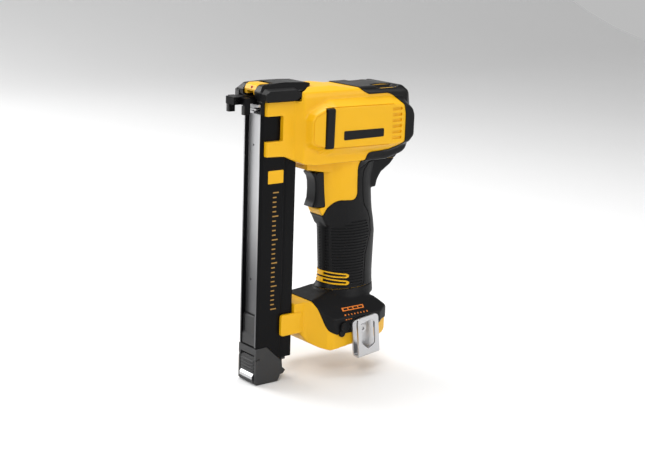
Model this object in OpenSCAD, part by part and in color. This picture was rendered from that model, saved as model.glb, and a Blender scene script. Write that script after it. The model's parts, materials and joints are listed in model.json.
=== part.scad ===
/* [Magazine] */
// Width of the magazine channel across Y
mag_w = 26.6; // [26.2:0.1:27]
// Depth of the magazine channel along X
mag_d = 38.6; // [38.2:0.1:39]
// Height of the top of the magazine channel above its closed end
mag_h = 242; // [240:0.5:242.4]
// Wall thickness of the magazine channel
mag_wall = 1.6; // [1.4:0.1:1.8]
// Length of the staple legs, crown included
staple_len = 24; // [20:1:25]

/* [Body] */
// Width of the body over its side panels
body_w = 66; // [64:0.5:68]
// Distance of the body's rear end behind the magazine axis
body_rear = 144; // [143:0.5:146]
// Height of the underside of the body
body_z0 = 195.5; // [194:0.5:196]
// Height of the top of the body
body_z1 = 265; // [264:0.5:266]
// Thickness of the moulded housing walls
wall = 3.4; // [3:0.1:3.6]
// Thickness of the soft overmould
soft_t = 1.6; // [1:0.1:1.8]

/* [Grip and foot] */
// Distance of the grip's centre behind the magazine axis
grip_x = 88.8; // [88:0.2:90]
// Depth of the grip front to rear
grip_depth = 57.2; // [56:0.2:58]
// Width of the grip
grip_w = 36; // [35:0.5:38]
// Width of the battery foot
foot_w = 72; // [70:0.5:74]
// Upward tilt of the battery slide towards the rear, in degrees
foot_tilt = 6; // [4:0.5:7]

/* [Drive] */
// Height of the driver blade
blade_z = 246; // [245.8:0.1:246.2]
// Height of the drive spring's axis
spring_z = 250.5; // [250.3:0.1:250.6]
// Distance of the motor axis behind the magazine axis
motor_x = 118; // [117:0.5:118.5]
// Height of the motor axis
motor_z = 229; // [228:0.5:230]
// Radius of the motor can
motor_r = 20.5; // [20:0.1:20.6]
// Distance of the lifter axis behind the magazine axis
lifter_x = 60; // [59:0.5:61]
// Height of the lifter axis
lifter_z = 219.6; // [219:0.2:219.6]

/* [Gears] */
// Tooth module of the first stage
module_1 = 0.8; // [0.78:0.01:0.82]
// Teeth of the motor pinion
pinion_1_teeth = 12; // [12:1:13]
// Teeth of the reduction gear
gear_1_teeth = 62; // [60:1:63]
// Tooth module of the second stage
module_2 = 1; // [0.98:0.01:1.01]
// Teeth of the countershaft pinion
pinion_2_teeth = 12; // [12:1:13]
// Teeth of the lifter gear
gear_2_teeth = 50; // [49:1:51]

/* [Controls] */
// Travel of the contact trip
trip_travel = 8; // [6:0.5:8]

/* [Hidden] */
$fn = 48;
big = 400;            // longer than any piece
gap = 0.4;            // clearance between pieces that move past each other
run = 0.04;           // radial clearance of a running fit
mag_x = mag_d / 2;
mag_y = mag_w / 2;
body_y = body_w / 2;
foot_y = foot_w / 2;
grip_a = grip_depth / 2;
grip_b = grip_w / 2;
yellow = "#f4b400";
black = "#222222";
rubber = "#2c2c2c";
grey = "#8a8d90";
steel = "#b9bcc0";
brass = "#c9a24a";

// ---- outlines -----------------------------------------------------------

// Moves each side of an anticlockwise outline inwards by d
function inset(p, d) = [
    for (i = [0 : len(p) - 1])
        let (a = p[(i + len(p) - 1) % len(p)], b = p[i], c = p[(i + 1) % len(p)],
             u = (b - a) / norm(b - a), v = (c - b) / norm(c - b),
             m = [-u[1], u[0]], n = [-v[1], v[0]])
        b + d * (m + n) / (1 + m * n)
];
// Outline symmetrical about the first axis, from its lower half
function both_sides(p) = concat(p, [for (i = [len(p) - 1 : -1 : 0]) [p[i][0], -p[i][1]]]);
// Outline symmetrical about the second axis, from its right half
function left_and_right(p) = concat(p, [for (i = [len(p) - 1 : -1 : 0]) [-p[i][0], p[i][1]]]);
function ellipse(cx, a, b, n = 28) = [for (i = [0 : n - 1]) [cx + a * cos(i * 360 / n), b * sin(i * 360 / n)]];

// Body seen from the side, along Y
barrel_side = [
    [-16, 206], [4, 205], [20, 197.5], [33, body_z0], [112, body_z0], [132, 201],
    [body_rear - 3, 207], [body_rear, 214], [body_rear, 240], [body_rear - 5, 254],
    [body_rear - 13, 261], [100, 262], [73, 262], [53, body_z1], [-16, body_z1]
];
barrel_plan = both_sides([
    [-16, -18], [14, -18], [17, -24], [23, -body_y], [126, -body_y], [137, -29],
    [body_rear, -17]
]);
barrel_section = left_and_right([
    [19, body_z0 - 1], [27, 201], [body_y, 212], [body_y, 246], [27, 257], [15, body_z1]
]);
neck_side = [
    [30, 189], [52, 186], [52.5, 154], [50, 150], [54, 142], [59, 126], [114, 126],
    [111.5, 165], [117, 181], [128, 188], [140, 200], [140, 214], [30, 214]
];
neck_plan = both_sides([[28, -11], [38, -16], [52, -19.5], [100, -19.5], [112, -12], [141, -12]]);
grip_side = [
    [61, 66], [61, 84], [60, 118], [58, 142], [112.5, 145], [117, 122], [117, 100], [115, 84],
    [116.5, 66]
];
foot_side = [
    [26, 46], [30, 38], [40, 28], [48, 26], [112, 33], [118, 38], [121, 46], [117, 56],
    [107, 67], [60, 76], [36, 73], [26, 75]
];
foot_plan = both_sides([
    [26, -12], [34, -17], [46, -foot_y + 3], [52, -foot_y], [104, -foot_y], [114, -foot_y + 6],
    [121, -foot_y + 18]
]);
foot_section = left_and_right([
    [foot_y, 20], [foot_y, 57], [foot_y - 8, 66], [19, 77]
]);
// Parts of the housing that the soft overmould covers
guard_zone = [
    [48, 139], [55, 148], [61, 157], [67, 160], [82, 159], [85, 162], [84, 190], [92, 203.5],
    [114, 204], [126, 211], [126, 236], [119, 252], [112, 255], [88, 255], [74, 268],
    [big, 268], [big, 76], [40, 76], [40, 139]
];
foot_zone = [[30, 76], [38, 67], [42, 54], [43, 46], [52, 41], [big, 41], [big, 76]];
guard_z = 186;        // where the rear guard meets the grip rubber
hood_side = [
    [-22, 253], [20, 252.5], [36, 257], [37, 265], [30, 268.6], [-19, 268.6], [-24, 262]
];
hood_section = left_and_right([[23, 250], [23, 262], [18, 268.7]]);

// ---- shared shapes ------------------------------------------------------

// Outline in the XZ plane, drawn out from y0 to y1
module slab(p, y0 = -big, y1 = big) {
    translate([0, y1, 0]) rotate([90, 0, 0]) linear_extrude(y1 - y0) polygon(p);
}
// Outline in the YZ plane, drawn out from x0 to x1
module section(p, x0 = -big, x1 = big) {
    translate([x0, 0, 0]) rotate([90, 0, 90]) linear_extrude(x1 - x0) polygon(p);
}
// Outline in the XY plane, drawn out from z0 to z1
module plan(p, z0 = -big, z1 = big) {
    translate([0, 0, z0]) linear_extrude(z1 - z0) polygon(p);
}
module box(x0, x1, y0, y1, z0, z1) {
    translate([x0, y0, z0]) cube([x1 - x0, y1 - y0, z1 - z0]);
}
module rod_y(x, z, r, y0, y1) {
    translate([x, y1, z]) rotate([90, 0, 0]) cylinder(r = r, h = y1 - y0);
}
module rod_x(y, z, r, x0, x1) {
    translate([x0, y, z]) rotate([0, 90, 0]) cylinder(r = r, h = x1 - x0);
}
// A coil spring of round wire along +Z, with its end turns closed
module coil(r, wire, length, turns, steps = 12, sides = 6) {
    count = turns * steps;
    rise = length - wire;
    ring = [
        for (i = [0 : count])
            let (t = i / count, a = 360 * turns * t,
                 s = min(max((t * turns - 0.75) / (turns - 1.5), 0), 1), z = wire / 2 + rise * s)
            for (k = [0 : sides - 1])
                let (q = 360 * k / sides, w = wire / 2 * 0.96)
                [(r - wire / 2 + w * cos(q)) * cos(a), (r - wire / 2 + w * cos(q)) * sin(a),
                 z + w * sin(q) + (t * turns < 0.75 ? 0.02 * i / steps : t * turns > turns - 0.75 ?
                 -0.02 * (count - i) / steps : 0)]
    ];
    skin = [
        for (i = [0 : count - 1]) for (k = [0 : sides - 1])
            let (n = (k + 1) % sides)
            [i * sides + k, (i + 1) * sides + k, (i + 1) * sides + n, i * sides + n]
    ];
    ends = [[for (k = [0 : sides - 1]) k], [for (k = [sides - 1 : -1 : 0]) count * sides + k]];
    polyhedron(ring, concat(skin, ends), convexity = 10);
}
// Involute angle at radius r of a gear with base radius b
function roll(r, b) = let (c = acos(min(1, b / r))) tan(c) * 180 / PI - c;
// Half angle of a tooth at radius r, thinned for backlash
function tooth_half(m, n, r) =
    let (rp = m * n / 2, b = rp * cos(20)) 90 / n * 0.84 + roll(rp, b) - roll(max(r, b), b);
module gear_outline(m, n, turn) {
    rp = m * n / 2;
    radii = [rp - 1.15 * m, rp, rp + 0.85 * m];
    rotate(turn) polygon([
        for (i = [0 : n - 1]) each concat(
            [for (k = [0 : 2]) radii[k] * [cos(360 * i / n - tooth_half(m, n, radii[k])),
                                           sin(360 * i / n - tooth_half(m, n, radii[k]))]],
            [for (k = [2 : -1 : 0]) radii[k] * [cos(360 * i / n + tooth_half(m, n, radii[k])),
                                                sin(360 * i / n + tooth_half(m, n, radii[k]))]])
    ]);
}
// Gear about a Y axis, its first tooth turned to the given angle in XZ
module gear(x, z, m, n, turn, y0, y1, bore) {
    difference() {
        translate([x, y1, z]) rotate([90, 0, 0]) linear_extrude(y1 - y0) gear_outline(m, n, turn);
        rod_y(x, z, bore, y0 - 1, y1 + 1);
    }
}

// ---- housing ------------------------------------------------------------

module barrel(d) {
    intersection() {
        slab(inset(barrel_side, d));
        plan(inset(barrel_plan, d));
        section(inset(barrel_section, d));
    }
}
module neck(d) {
    intersection() {
        slab(inset(neck_side, d));
        plan(inset(neck_plan, d));
    }
}
module grip(d) {
    intersection() {
        slab(inset(grip_side, d), -foot_y, foot_y);
        plan(ellipse(grip_x, grip_a - d, grip_b - d), 60, 146);
    }
}
module foot(d) {
    intersection() {
        slab(inset(foot_side, d));
        plan(inset(foot_plan, d));
        section(inset(foot_section, d));
    }
}
module envelope(d) {
    barrel(d);
    neck(d);
    grip(d);
    foot(d);
}
// Places of the housing screws in XZ
screw_at = [[26, 204], [108, 203.5], [134, 250], [103, 173], [88, 105], [40, 47]];
boss_r = 3.6;
screw_r = 1.5;
mouth_z = 26;         // height of the front end of the battery slide
mouth_x = 48;
// Space in the frame of the battery slide, which tilts up to the rear
module at_foot() {
    translate([mouth_x, 0, mouth_z]) rotate([0, -foot_tilt, 0]) children();
}
slide_half = 27.5;    // half width of the battery slide behind its rails
rail_half = 24;       // half width between the rails
slide_h = 11;         // height of the slide's ceiling
module battery_slide() {
    at_foot() {
        box(2, 90, -rail_half, rail_half, -20, slide_h);
        box(2, 90, -slide_half, slide_half, 4, slide_h);
    }
}
module cavity() {
    difference() {
        envelope(wall);
        at_foot() box(-40, 90, -foot_y, foot_y, -40, slide_h + 2.4);
        box(-30, mag_x + 1.1, -body_y, body_y, 30, 280);
    }
}
vent_count = 6;
vent_pitch = 5.2;
module vents() {
    for (i = [0 : vent_count - 1])
        box(111.5, 120.5, -big, big, 214.6 + i * vent_pitch, 217.4 + i * vent_pitch);
}
arm_gap = [219, 241]; // heights between which the magazine's side shows
module housing_cuts() {
    box(-30, 0, -big, big, arm_gap[0], arm_gap[1]);
    box(-30, mag_x + 0.5, -mag_y - 0.1, mag_y + 0.1, -1, 257);
    box(-30, mag_x + 1.7, -8.4, 8.4, blade_z - 1.4, 258.2);
    slab([[-40, 252.2], [20, 252.2], [36.5, 256.6], [37.3, 280], [-40, 280]]);
    box(40, 68, -8.5, 8.5, 152.4, 186);
    battery_slide();
    at_foot() box(14, 50, -17, 17, slide_h - 1, slide_h + 6);
    vents();
}
module soft_layer() {
    difference() {
        envelope(0);
        envelope(soft_t);
    }
}
module boss_rods(r) {
    for (p = screw_at) rod_y(p[0], p[1], r, -big / 4, big / 4);
}
module bridge() {
    box(mag_x + 0.4, 30, -13, 13, 46, 72);
    box(mag_x + 0.4, 27.5, -mag_y - 3, mag_y + 3, 46, 62);
    for (s = [-1, 1])
        translate([0, s * (mag_y + 0.1 + 1.6), 0])
            slab([[5.5, 44], [8, 42], [24, 42], [27.5, 46], [27.5, 62], [7, 62], [5.5, 60]], -1.6, 1.6);
}
insert_at = [80, 44]; // place of the belt hook's inserts in XZ
insert_r = 3.2;
insert_len = 9;
module housing() {
    difference() {
        union() {
            difference() {
                envelope(0);
                cavity();
            }
            intersection() {
                union() {
                    boss_rods(boss_r);
                    for (s = [-1, 1])
                        rod_y(insert_at[0], insert_at[1], insert_r + 2,
                              s < 0 ? -foot_y : foot_y - 12, s < 0 ? -foot_y + 12 : foot_y);
                }
                envelope(0.2);
            }
            bridge();
        }
        housing_cuts();
        boss_rods(screw_r);
        difference() {
            union() {
                slab(guard_zone);
                slab(foot_zone);
            }
            envelope(soft_t);
        }
        rod_y(insert_at[0], insert_at[1], insert_r, -big, -foot_y + insert_len);
        rod_y(insert_at[0], insert_at[1], insert_r, foot_y - insert_len, big);
        for (s = [-1, 1]) box(35, 45, s * body_y - 0.8, s * body_y + 0.8, 211, 247);
    }
}
module housing_left() {
    color(yellow) difference() {
        housing();
        box(-big, big, 0, big, -1, big);
    }
}
head_y = [26.5, 26.5, 24.5, 9, 13.5, 19];    // seats of the screw heads
module housing_right() {
    color(yellow) difference() {
        housing();
        box(-big, big, -big, 0, -1, big);
        for (i = [0 : len(screw_at) - 1]) {
            rod_y(screw_at[i][0], screw_at[i][1], screw_r + 0.3, -1, head_y[i]);
            rod_y(screw_at[i][0], screw_at[i][1], 3.2, head_y[i], big);
        }
    }
}
module housing_screws() {
    color(steel) for (i = [0 : len(screw_at) - 1]) {
        rod_y(screw_at[i][0], screw_at[i][1], screw_r, -7, head_y[i]);
        difference() {
            rod_y(screw_at[i][0], screw_at[i][1], 3, head_y[i], head_y[i] + 2.4);
            rod_y(screw_at[i][0], screw_at[i][1], 1.3, head_y[i] + 1, head_y[i] + 3);
        }
    }
}
module rear_guard() {
    color(black) difference() {
        intersection() {
            soft_layer();
            slab(guard_zone);
            box(-big, big, -big, big, guard_z, big);
        }
        for (i = [0 : len(screw_at) - 1]) rod_y(screw_at[i][0], screw_at[i][1], 3.4, 0, big);
    }
}
insert_z = [81.5, 88.5];
insert_h = 4.6;
band_rear = 82;       // rear end of the rings
module grip_oval(d) {
    plan(ellipse(grip_x, grip_a - d, grip_b - d), 70, 100);
}
// Room for the rings, shrunk by d
module grip_band_space(d) {
    for (z = insert_z)
        box(0, band_rear - d, -big, big, z - insert_h / 2 + d, z + insert_h / 2 - d);
}
module grip_rubber() {
    color(rubber) difference() {
        intersection() {
            soft_layer();
            slab(guard_zone);
            box(-big, big, -big, big, 76, guard_z);
        }
        for (i = [0 : len(screw_at) - 1]) rod_y(screw_at[i][0], screw_at[i][1], 3.4, 0, big);
        intersection() {
            grip_band_space(0);
            grip_oval(-1);
        }
    }
}
module grip_inserts() {
    color(yellow) difference() {
        intersection() {
            grip_band_space(gap / 4);
            grip_oval(0.1);
        }
        grip_oval(soft_t - gap / 4);
    }
}
module foot_cover() {
    color(rubber) difference() {
        intersection() {
            difference() {
                foot(0);
                foot(soft_t);
            }
            slab(foot_zone);
        }
        grip(0);
        battery_slide();
        bridge();
        rod_y(screw_at[5][0], screw_at[5][1], 3.4, 0, big);
        for (s = [-1, 1]) rod_y(insert_at[0], insert_at[1], insert_r, s < 0 ? -big : 10, s < 0 ? -10 : big);
    }
}
trip_cross = [-36, -30.2]; // front and back of the contact trip's fork
module front_hood() {
    color(black) difference() {
        intersection() {
            slab(hood_side);
            section(hood_section);
        }
        box(-40, mag_x + 0.6, -mag_y - 0.2, mag_y + 0.2, 0, 255.2);
        box(-40, 40, -6.8, 6.8, 0, 258.2);
        box(-40, -3.6, -8.6, 8.6, 258, 280);
        box(-40, trip_cross[1] + trip_travel + gap, -13, 13, 0, trip_z[1] + gap);
        box(20.4, 40, -18, 18, 0, 262);
        rod_y(-9, 263, 1.5, -14, 14);
    }
}
module side_rub_bars() {
    color(black) for (s = [-1, 1])
        translate([0, s * (body_y + 0.6), 0])
            slab([[35, 212.5], [36.5, 211], [43.5, 211], [45, 212.5], [45, 245.5], [43.5, 247],
                  [36.5, 247], [35, 245.5]], -1.4, 1.4);
}

// ---- foot ---------------------------------------------------------------

module battery_terminal_block() {
    color(black) at_foot() difference() {
        union() {
            box(14.4, 49.6, -16.6, 16.6, slide_h - 0.6, slide_h + 5);
            box(18, 46, -14, 14, 3, slide_h - 0.6);
        }
        for (i = [-2 : 2]) box(17, 47, i * 5.4 - 0.5, i * 5.4 + 0.5, 2, slide_h + 6);
    }
}
module battery_contacts() {
    color(brass) at_foot() for (i = [-2 : 2]) {
        box(20, 44, i * 5.4 - 0.5, i * 5.4 + 0.5, 4, slide_h + 7);
    }
}
module control_board() {
    color("#2e6b3a") at_foot() {
        box(12, 54, -18, 18, slide_h + 7, slide_h + 8.6);
        for (x = [18, 30, 42]) box(x, x + 6, -10, 10, slide_h + 8.6, slide_h + 12);
    }
}
hook_t = 1.8;
hook_y = foot_y + 0.2;
hook_out = 45.8;
module belt_hook() {
    color(steel) difference() {
        translate([insert_at[0], 0, insert_at[1]]) rotate([0, -foot_tilt, 0]) union() {
            box(-10, 14, -hook_y - hook_t, -hook_y, -21, 9);
            box(-10, 14, -hook_out + 2, -hook_y - 2, -25, -25 + hook_t);
            for (y = [-hook_y - 2, -hook_out + 2])
                intersection() {
                    difference() {
                        rod_x(y, -23, 2, -10, 14);
                        rod_x(y, -23, 2 - hook_t, -11, 15);
                    }
                    box(-11, 15, y < -42 ? y - 3 : y, y < -42 ? y : y + 3, -26, -23);
                }
            box(-10, 14, -hook_y - hook_t, -hook_y, -23, -20);
            box(-10, 14, -hook_out, -hook_out + hook_t, -23, 13);
        }
        translate([insert_at[0], 0, insert_at[1]]) rotate([0, -foot_tilt, 0])
            slab([[-5, -10], [1, -15], [8, -13], [8, 7], [-5, 7]], -50, -42);
        rod_y(insert_at[0], insert_at[1], 2.2, -50, 0);
    }
}
module belt_hook_screw() {
    color(steel) difference() {
        union() {
            rod_y(insert_at[0], insert_at[1], 2, -hook_y - hook_t, -foot_y + insert_len - 1);
            rod_y(insert_at[0], insert_at[1], 3.8, -hook_y - hook_t - 2.2, -hook_y - hook_t);
        }
        rod_y(insert_at[0], insert_at[1], 1.5, -50, -hook_y - hook_t - 1);
    }
}
module hook_inserts() {
    color(brass) for (s = [-1, 1]) difference() {
        rod_y(insert_at[0], insert_at[1], insert_r, s < 0 ? -foot_y : foot_y - insert_len,
              s < 0 ? -foot_y + insert_len : foot_y);
        rod_y(insert_at[0], insert_at[1], 2, s < 0 ? -foot_y - 1 : foot_y - insert_len - 1,
              s < 0 ? -foot_y + insert_len + 1 : foot_y + 1);
    }
}

// ---- magazine -----------------------------------------------------------

panel_x = -15;        // front face of the sliding rail, set back between the lips
lip_y = 10.4;
strip_z = 150;        // lower end of the staple strip
pusher_h = 11.6;
pusher_rod_r = 1.8;
channel_outline = both_sides([
    [-mag_x, -lip_y - 0.1], [-mag_x + 2.8, -mag_y], [6.4, -mag_y], [6.9, -mag_y + 0.5],
    [7.9, -mag_y + 0.5], [8.4, -mag_y], [mag_x - 1, -mag_y], [mag_x, -mag_y + 1]
]);
module magazine_channel() {
    color(black) difference() {
        plan(channel_outline, 18, mag_h);
        box(panel_x - gap, mag_x - 2, -mag_y + mag_wall, mag_y - mag_wall, 0, big);
        box(-mag_x - 1, panel_x, -lip_y, lip_y, 0, big);
        slab([[-30, 0], [30, 0], [30, 22], [9, 22], [8 + gap, 19 + gap], [-8 + gap / 2, 34 + gap],
              [-30, 33.6 + gap]]);
    }
}
module magazine_rail() {
    y = mag_y - mag_wall - gap;
    color(steel) difference() {
        box(panel_x, 14, -y, y, 63, mag_h - 0.5);
        box(panel_x + 1.1, 15, -y + 1.1, y - 1.1, 60, big);
        for (z = [94, 214]) rod_x(3, z, 1, panel_x - 1, panel_x + 2);
    }
}
module rail_foot() {
    y = mag_y - mag_wall - gap;
    color("#4a4c4e") difference() {
        union() {
            box(panel_x, 14, -y, y, 36, 63);
            box(panel_x - 2.4, panel_x, -lip_y + gap, lip_y - gap, 36, 62);
        }
        for (s = [-1, 1]) box(panel_x - 3, panel_x - 0.8, s * 8.2 - 0.7, s * 8.2 + 0.7, 40, 58);
        translate([0, 0, 30]) cylinder(r = pusher_rod_r, h = 40);
    }
}
module magazine_end_cap() {
    y = mag_y - mag_wall - gap;
    color(black) difference() {
        union() {
            slab([[-mag_x, 1.5], [-mag_x + 1.5, 0], [5, 0], [7, 5], [8, 19], [-8, 34], [-mag_x, 33.6]],
                 -mag_y, mag_y);
            box(panel_x, 14, -y, y, 19, 36);
            box(7, 18, -7, 7, 4, 19);
        }
        box(-mag_x - 1, -11.4, -10.4, 10.4, -1, 26.4);
        rod_y(-14.6, 20, 1.2, -12, 12);
    }
}
latch_at = [-14.6, 20];
module magazine_latch() {
    color(black) difference() {
        union() {
            slab([[-20, 3], [-17.5, 0.4], [-15.6, 0.4], [-15.6, 16], [-12.6, 18.6], [-12.6, 21.4],
                  [-15, 24.6], [-18.4, 25.4], [-19.6, 23]], -10, 10);
            for (z = [6 : 3 : 21]) box(-20.6, -19, -9, 9, z, z + 1.4);
        }
        rod_y(latch_at[0], latch_at[1], 1.2 + run, -11, 11);
    }
}
module latch_pin() {
    color(steel) rod_y(latch_at[0], latch_at[1], 1.2, -12, 12);
}
module latch_spring() {
    color(steel) translate([-15.6, 0, 8]) rotate([0, 90, 0]) coil(3, 0.7, 4.2, 4);
}
module pusher_rod() {
    color(steel) translate([0, 0, 40]) cylinder(r = pusher_rod_r, h = 198);
}
module staple_pusher() {
    color("#c0392b") difference() {
        box(-13.3, 12.4, -9.4, 9.4, strip_z - gap - pusher_h, strip_z - gap);
        translate([0, 0, 100]) cylinder(r = pusher_rod_r + run, h = 80);
    }
}
module pusher_spring() {
    color(steel) translate([0, 0, 63]) coil(5, 1, strip_z - gap - pusher_h - 63, 20, 10);
}
module staple_strip() {
    color(steel) difference() {
        box(12 - staple_len, 12, -9, 9, strip_z, blade_z - 1.4);
        box(12 - staple_len - 1, 10.6, -7.6, 7.6, strip_z - 1, big);
    }
}
module nose_block() {
    color(black) difference() {
        plan(both_sides([[-mag_x, -lip_y], [-mag_x + 2.8, -mag_y], [mag_x, -mag_y]]), mag_h, 255);
        box(-13, 13, -9.6, 9.6, 200, blade_z);
        box(-30, 30, -9.6, 9.6, blade_z - 1.2, blade_z + 1.2);
        box(-30, 30, -6.4, 6.4, 250.7, big);
    }
}
module nose_plate() {
    color(steel) difference() {
        box(-mag_x - 2, -mag_x, -11, 11, mag_h + 0.6, 250.4);
        box(-30, 0, -9.6, 9.6, blade_z - 1.2, blade_z + 1.2);
    }
}
trip_z = [251.1, 257.3];
module contact_trip() {
    color(black) {
        box(-42.5, 2, -6, 6, trip_z[0], trip_z[1]);
        box(trip_cross[0], trip_cross[1], -12.6, 12.6, trip_z[0], trip_z[1]);
        for (s = [-1, 1])
            box(trip_cross[0], trip_cross[1], s * 11.3 - 1.3, s * 11.3 + 1.3, 243, trip_z[0]);
    }
}
module trip_spring() {
    color(steel) translate([2, 0, 254.2]) rotate([0, 90, 0]) coil(2.9, 0.9, 18, 7);
}
lever_at = [-9, 263];
module release_lever() {
    color(yellow) difference() {
        union() {
            rod_y(lever_at[0], lever_at[1], 4.6, -8, 8);
            slab([[-20, 258.6], [-9, 258.6], [-9, 267.6], [-17, 267.6], [-22, 264]], -8, 8);
        }
        rod_y(lever_at[0], lever_at[1], 1.5 + run, -9, 9);
        slab([[-23, 257], [-15, 257], [-15, 261], [-23, 261.5]], -4, 4);
    }
}
module lever_pin() {
    color(steel) rod_y(lever_at[0], lever_at[1], 1.5, -14, 14);
}

// ---- trigger ------------------------------------------------------------

trigger_z = 172;
module trigger() {
    color(black) {
        slab([[43.6, 154], [54, 153.2], [60, 153.2], [60, 185], [54, 185], [42.4, 184.6],
              [43.6, 181], [46, 176], [47, 168], [46.4, 160]], -8, 8);
        rod_x(0, trigger_z, 1.5, 60, 74);
    }
}
module trigger_spring() {
    color(steel) translate([60, 0, trigger_z]) rotate([0, 90, 0]) coil(4, 0.8, 16, 7);
}
module trigger_switch() {
    color("#303236") difference() {
        box(76, 99, -9, 9, 160, 186);
        rod_x(0, trigger_z, 1.9, 70, 88);
    }
}

// ---- motor and gears ----------------------------------------------------

shaft_r = 2.5;
can_y = [-19, 9];
right_plate = [20, 22.4];
left_plate = [-11, -8.6];
stage_1 = module_1 * (pinion_1_teeth + gear_1_teeth) / 2;
stage_2 = module_2 * (pinion_2_teeth + gear_2_teeth) / 2;
span = norm([motor_x - lifter_x, motor_z - lifter_z]);
line_turn = atan2(motor_z - lifter_z, motor_x - lifter_x);
bend = acos((stage_2 * stage_2 + span * span - stage_1 * stage_1) / (2 * stage_2 * span));
counter_x = lifter_x + stage_2 * cos(line_turn + bend);
counter_z = lifter_z + stage_2 * sin(line_turn + bend);
turn_1 = atan2(counter_z - motor_z, counter_x - motor_x);
turn_2 = atan2(lifter_z - counter_z, lifter_x - counter_x);
fan_r = 15;
counter_r = 2.6;
module motor_can() {
    color(grey) difference() {
        rod_y(motor_x, motor_z, motor_r, can_y[0], can_y[1]);
        rod_y(motor_x, motor_z, motor_r - 1.6, can_y[0] + 3, can_y[1] - 3);
        rod_y(motor_x, motor_z, 5, can_y[0] - 1, can_y[1] + 1);
    }
}
module motor_magnets() {
    color("#3c3f43") difference() {
        rod_y(motor_x, motor_z, motor_r - 1.6, can_y[0] + 5, can_y[1] - 5);
        rod_y(motor_x, motor_z, motor_r - 6, can_y[0], can_y[1]);
        box(motor_x - 30, motor_x + 30, -30, 10, motor_z - 3, motor_z + 3);
    }
}
module motor_rotor() {
    color("#b87333") {
        rod_y(motor_x, motor_z, shaft_r, -26.2, right_plate[1]);
        rod_y(motor_x, motor_z, motor_r - 7, -14, 3);
        rod_y(motor_x, motor_z, 6, can_y[0] + 3.4, -14);
    }
}
module motor_bearings() {
    color(steel) {
        difference() {
            rod_y(motor_x, motor_z, 5, can_y[0], can_y[0] + 3);
            rod_y(motor_x, motor_z, shaft_r + run, -40, 40);
        }
        difference() {
            rod_y(motor_x, motor_z, 5, right_plate[0], right_plate[1]);
            rod_y(motor_x, motor_z, shaft_r + run, -40, 40);
        }
    }
}
module cooling_fan() {
    color(black) difference() {
        union() {
            rod_y(motor_x, motor_z, 6, -26.2, -20.4);
            rod_y(motor_x, motor_z, fan_r, -21.6, -20.4);
            for (i = [0 : 8]) translate([motor_x, 0, motor_z]) rotate([0, i * 40, 0])
                box(5, fan_r - 0.4, -26.2, -21, -0.6, 0.6);
        }
        rod_y(motor_x, motor_z, shaft_r, -40, 0);
    }
}
module motor_pinion() {
    color(steel) gear(motor_x, motor_z, module_1, pinion_1_teeth, turn_1, 13.8, 19.2, shaft_r);
}
module reduction_gear() {
    color(grey) gear(counter_x, counter_z, module_1, gear_1_teeth, turn_1 + 180 + 180 / gear_1_teeth,
                     14.2, 18.8, counter_r);
}
module countershaft() {
    color(steel) {
        rod_y(counter_x, counter_z, counter_r, left_plate[0], right_plate[1]);
        gear(counter_x, counter_z, module_2, pinion_2_teeth, turn_2, 7.8, 13.6, counter_r - 1);
    }
}
lifter_r = 15;      // its two discs
pin_orbit = 12.8;   // circle of the lifting pins between them
pin_r = 1.8;
module lifter_wheel() {
    color(steel) difference() {
        union() {
            for (y = [-6, 4]) rod_y(lifter_x, lifter_z, lifter_r, y, y + 2);
            rod_y(lifter_x, lifter_z, 6, -4.5, 4.5);
            for (i = [0 : 4]) translate([lifter_x, 0, lifter_z]) rotate([0, 36 * i + 20, 0])
                rod_y(0, pin_orbit, pin_r, -4.5, 4.5);
        }
        rod_y(lifter_x, lifter_z, 4, -10, 10);
    }
}
module lifter_gear() {
    color(grey) gear(lifter_x, lifter_z, module_2, gear_2_teeth, turn_2 + 180 + 180 / gear_2_teeth,
                     8.2, 13.2, 4);
}
module lifter_shaft() {
    color(steel) rod_y(lifter_x, lifter_z, 4, left_plate[0], right_plate[1]);
}
module bushing(x, z, r, y) {
    difference() {
        rod_y(x, z, r + 2, y[0], y[1]);
        rod_y(x, z, r + run, y[0] - 1, y[1] + 1);
    }
}
module shaft_bushings() {
    color(brass) for (y = [left_plate, right_plate]) {
        bushing(lifter_x, lifter_z, 4, y);
        bushing(counter_x, counter_z, counter_r, y);
    }
}
module gear_frame_left() {
    color(grey) difference() {
        slab([[24, 212], [32, 206], [58, 203], [90, 212], [95, 232], [95, 255.6], [24, 255.6]],
             left_plate[0], left_plate[1]);
        rod_y(lifter_x, lifter_z, 6, -20, 0);
        rod_y(counter_x, counter_z, counter_r + 2, -20, 0);
    }
}
module gear_frame_right() {
    color(grey) difference() {
        slab([[42, 212], [58, 205], [104, 212.5], [126, 218], [130, 232], [120, 242], [90, 248],
              [42, 240]], right_plate[0], right_plate[1]);
        rod_y(lifter_x, lifter_z, 6, 0, 40);
        rod_y(counter_x, counter_z, counter_r + 2, 0, 40);
        rod_y(motor_x, motor_z, 5, 0, 40);
    }
}

// ---- drive --------------------------------------------------------------

rod_r = 3;
seat_x = 95;          // rear seat of the drive spring
front_x = 20.4;       // front wall of the drive frame
carriage_x = [28, 36];
lug_pitch = 8.2;
module drive_front_wall() {
    color(grey) difference() {
        union() {
            box(front_x, 24, left_plate[1], 12, 210, 253.6);
            box(front_x, 24, -6, 6, 253, 257.8);
        }
        rod_x(0, spring_z, rod_r, 22, 30);
        box(front_x - 1, 25, -8.4, 8.4, blade_z - 1.2, blade_z + 1.2);
    }
}
module spring_seat() {
    color(grey) difference() {
        box(seat_x, seat_x + 3, left_plate[0], 12, 244, 257.6);
        rod_x(0, spring_z, rod_r, 22, seat_x + 4);
    }
}
module guide_rod() {
    color(steel) rod_x(0, spring_z, rod_r, 22, seat_x + 3);
}
module drive_spring() {
    color(steel) translate([carriage_x[1], 0, spring_z]) rotate([0, 90, 0])
        coil(7.4, 2.2, seat_x - carriage_x[1], 9, 14, 8);
}
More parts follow.
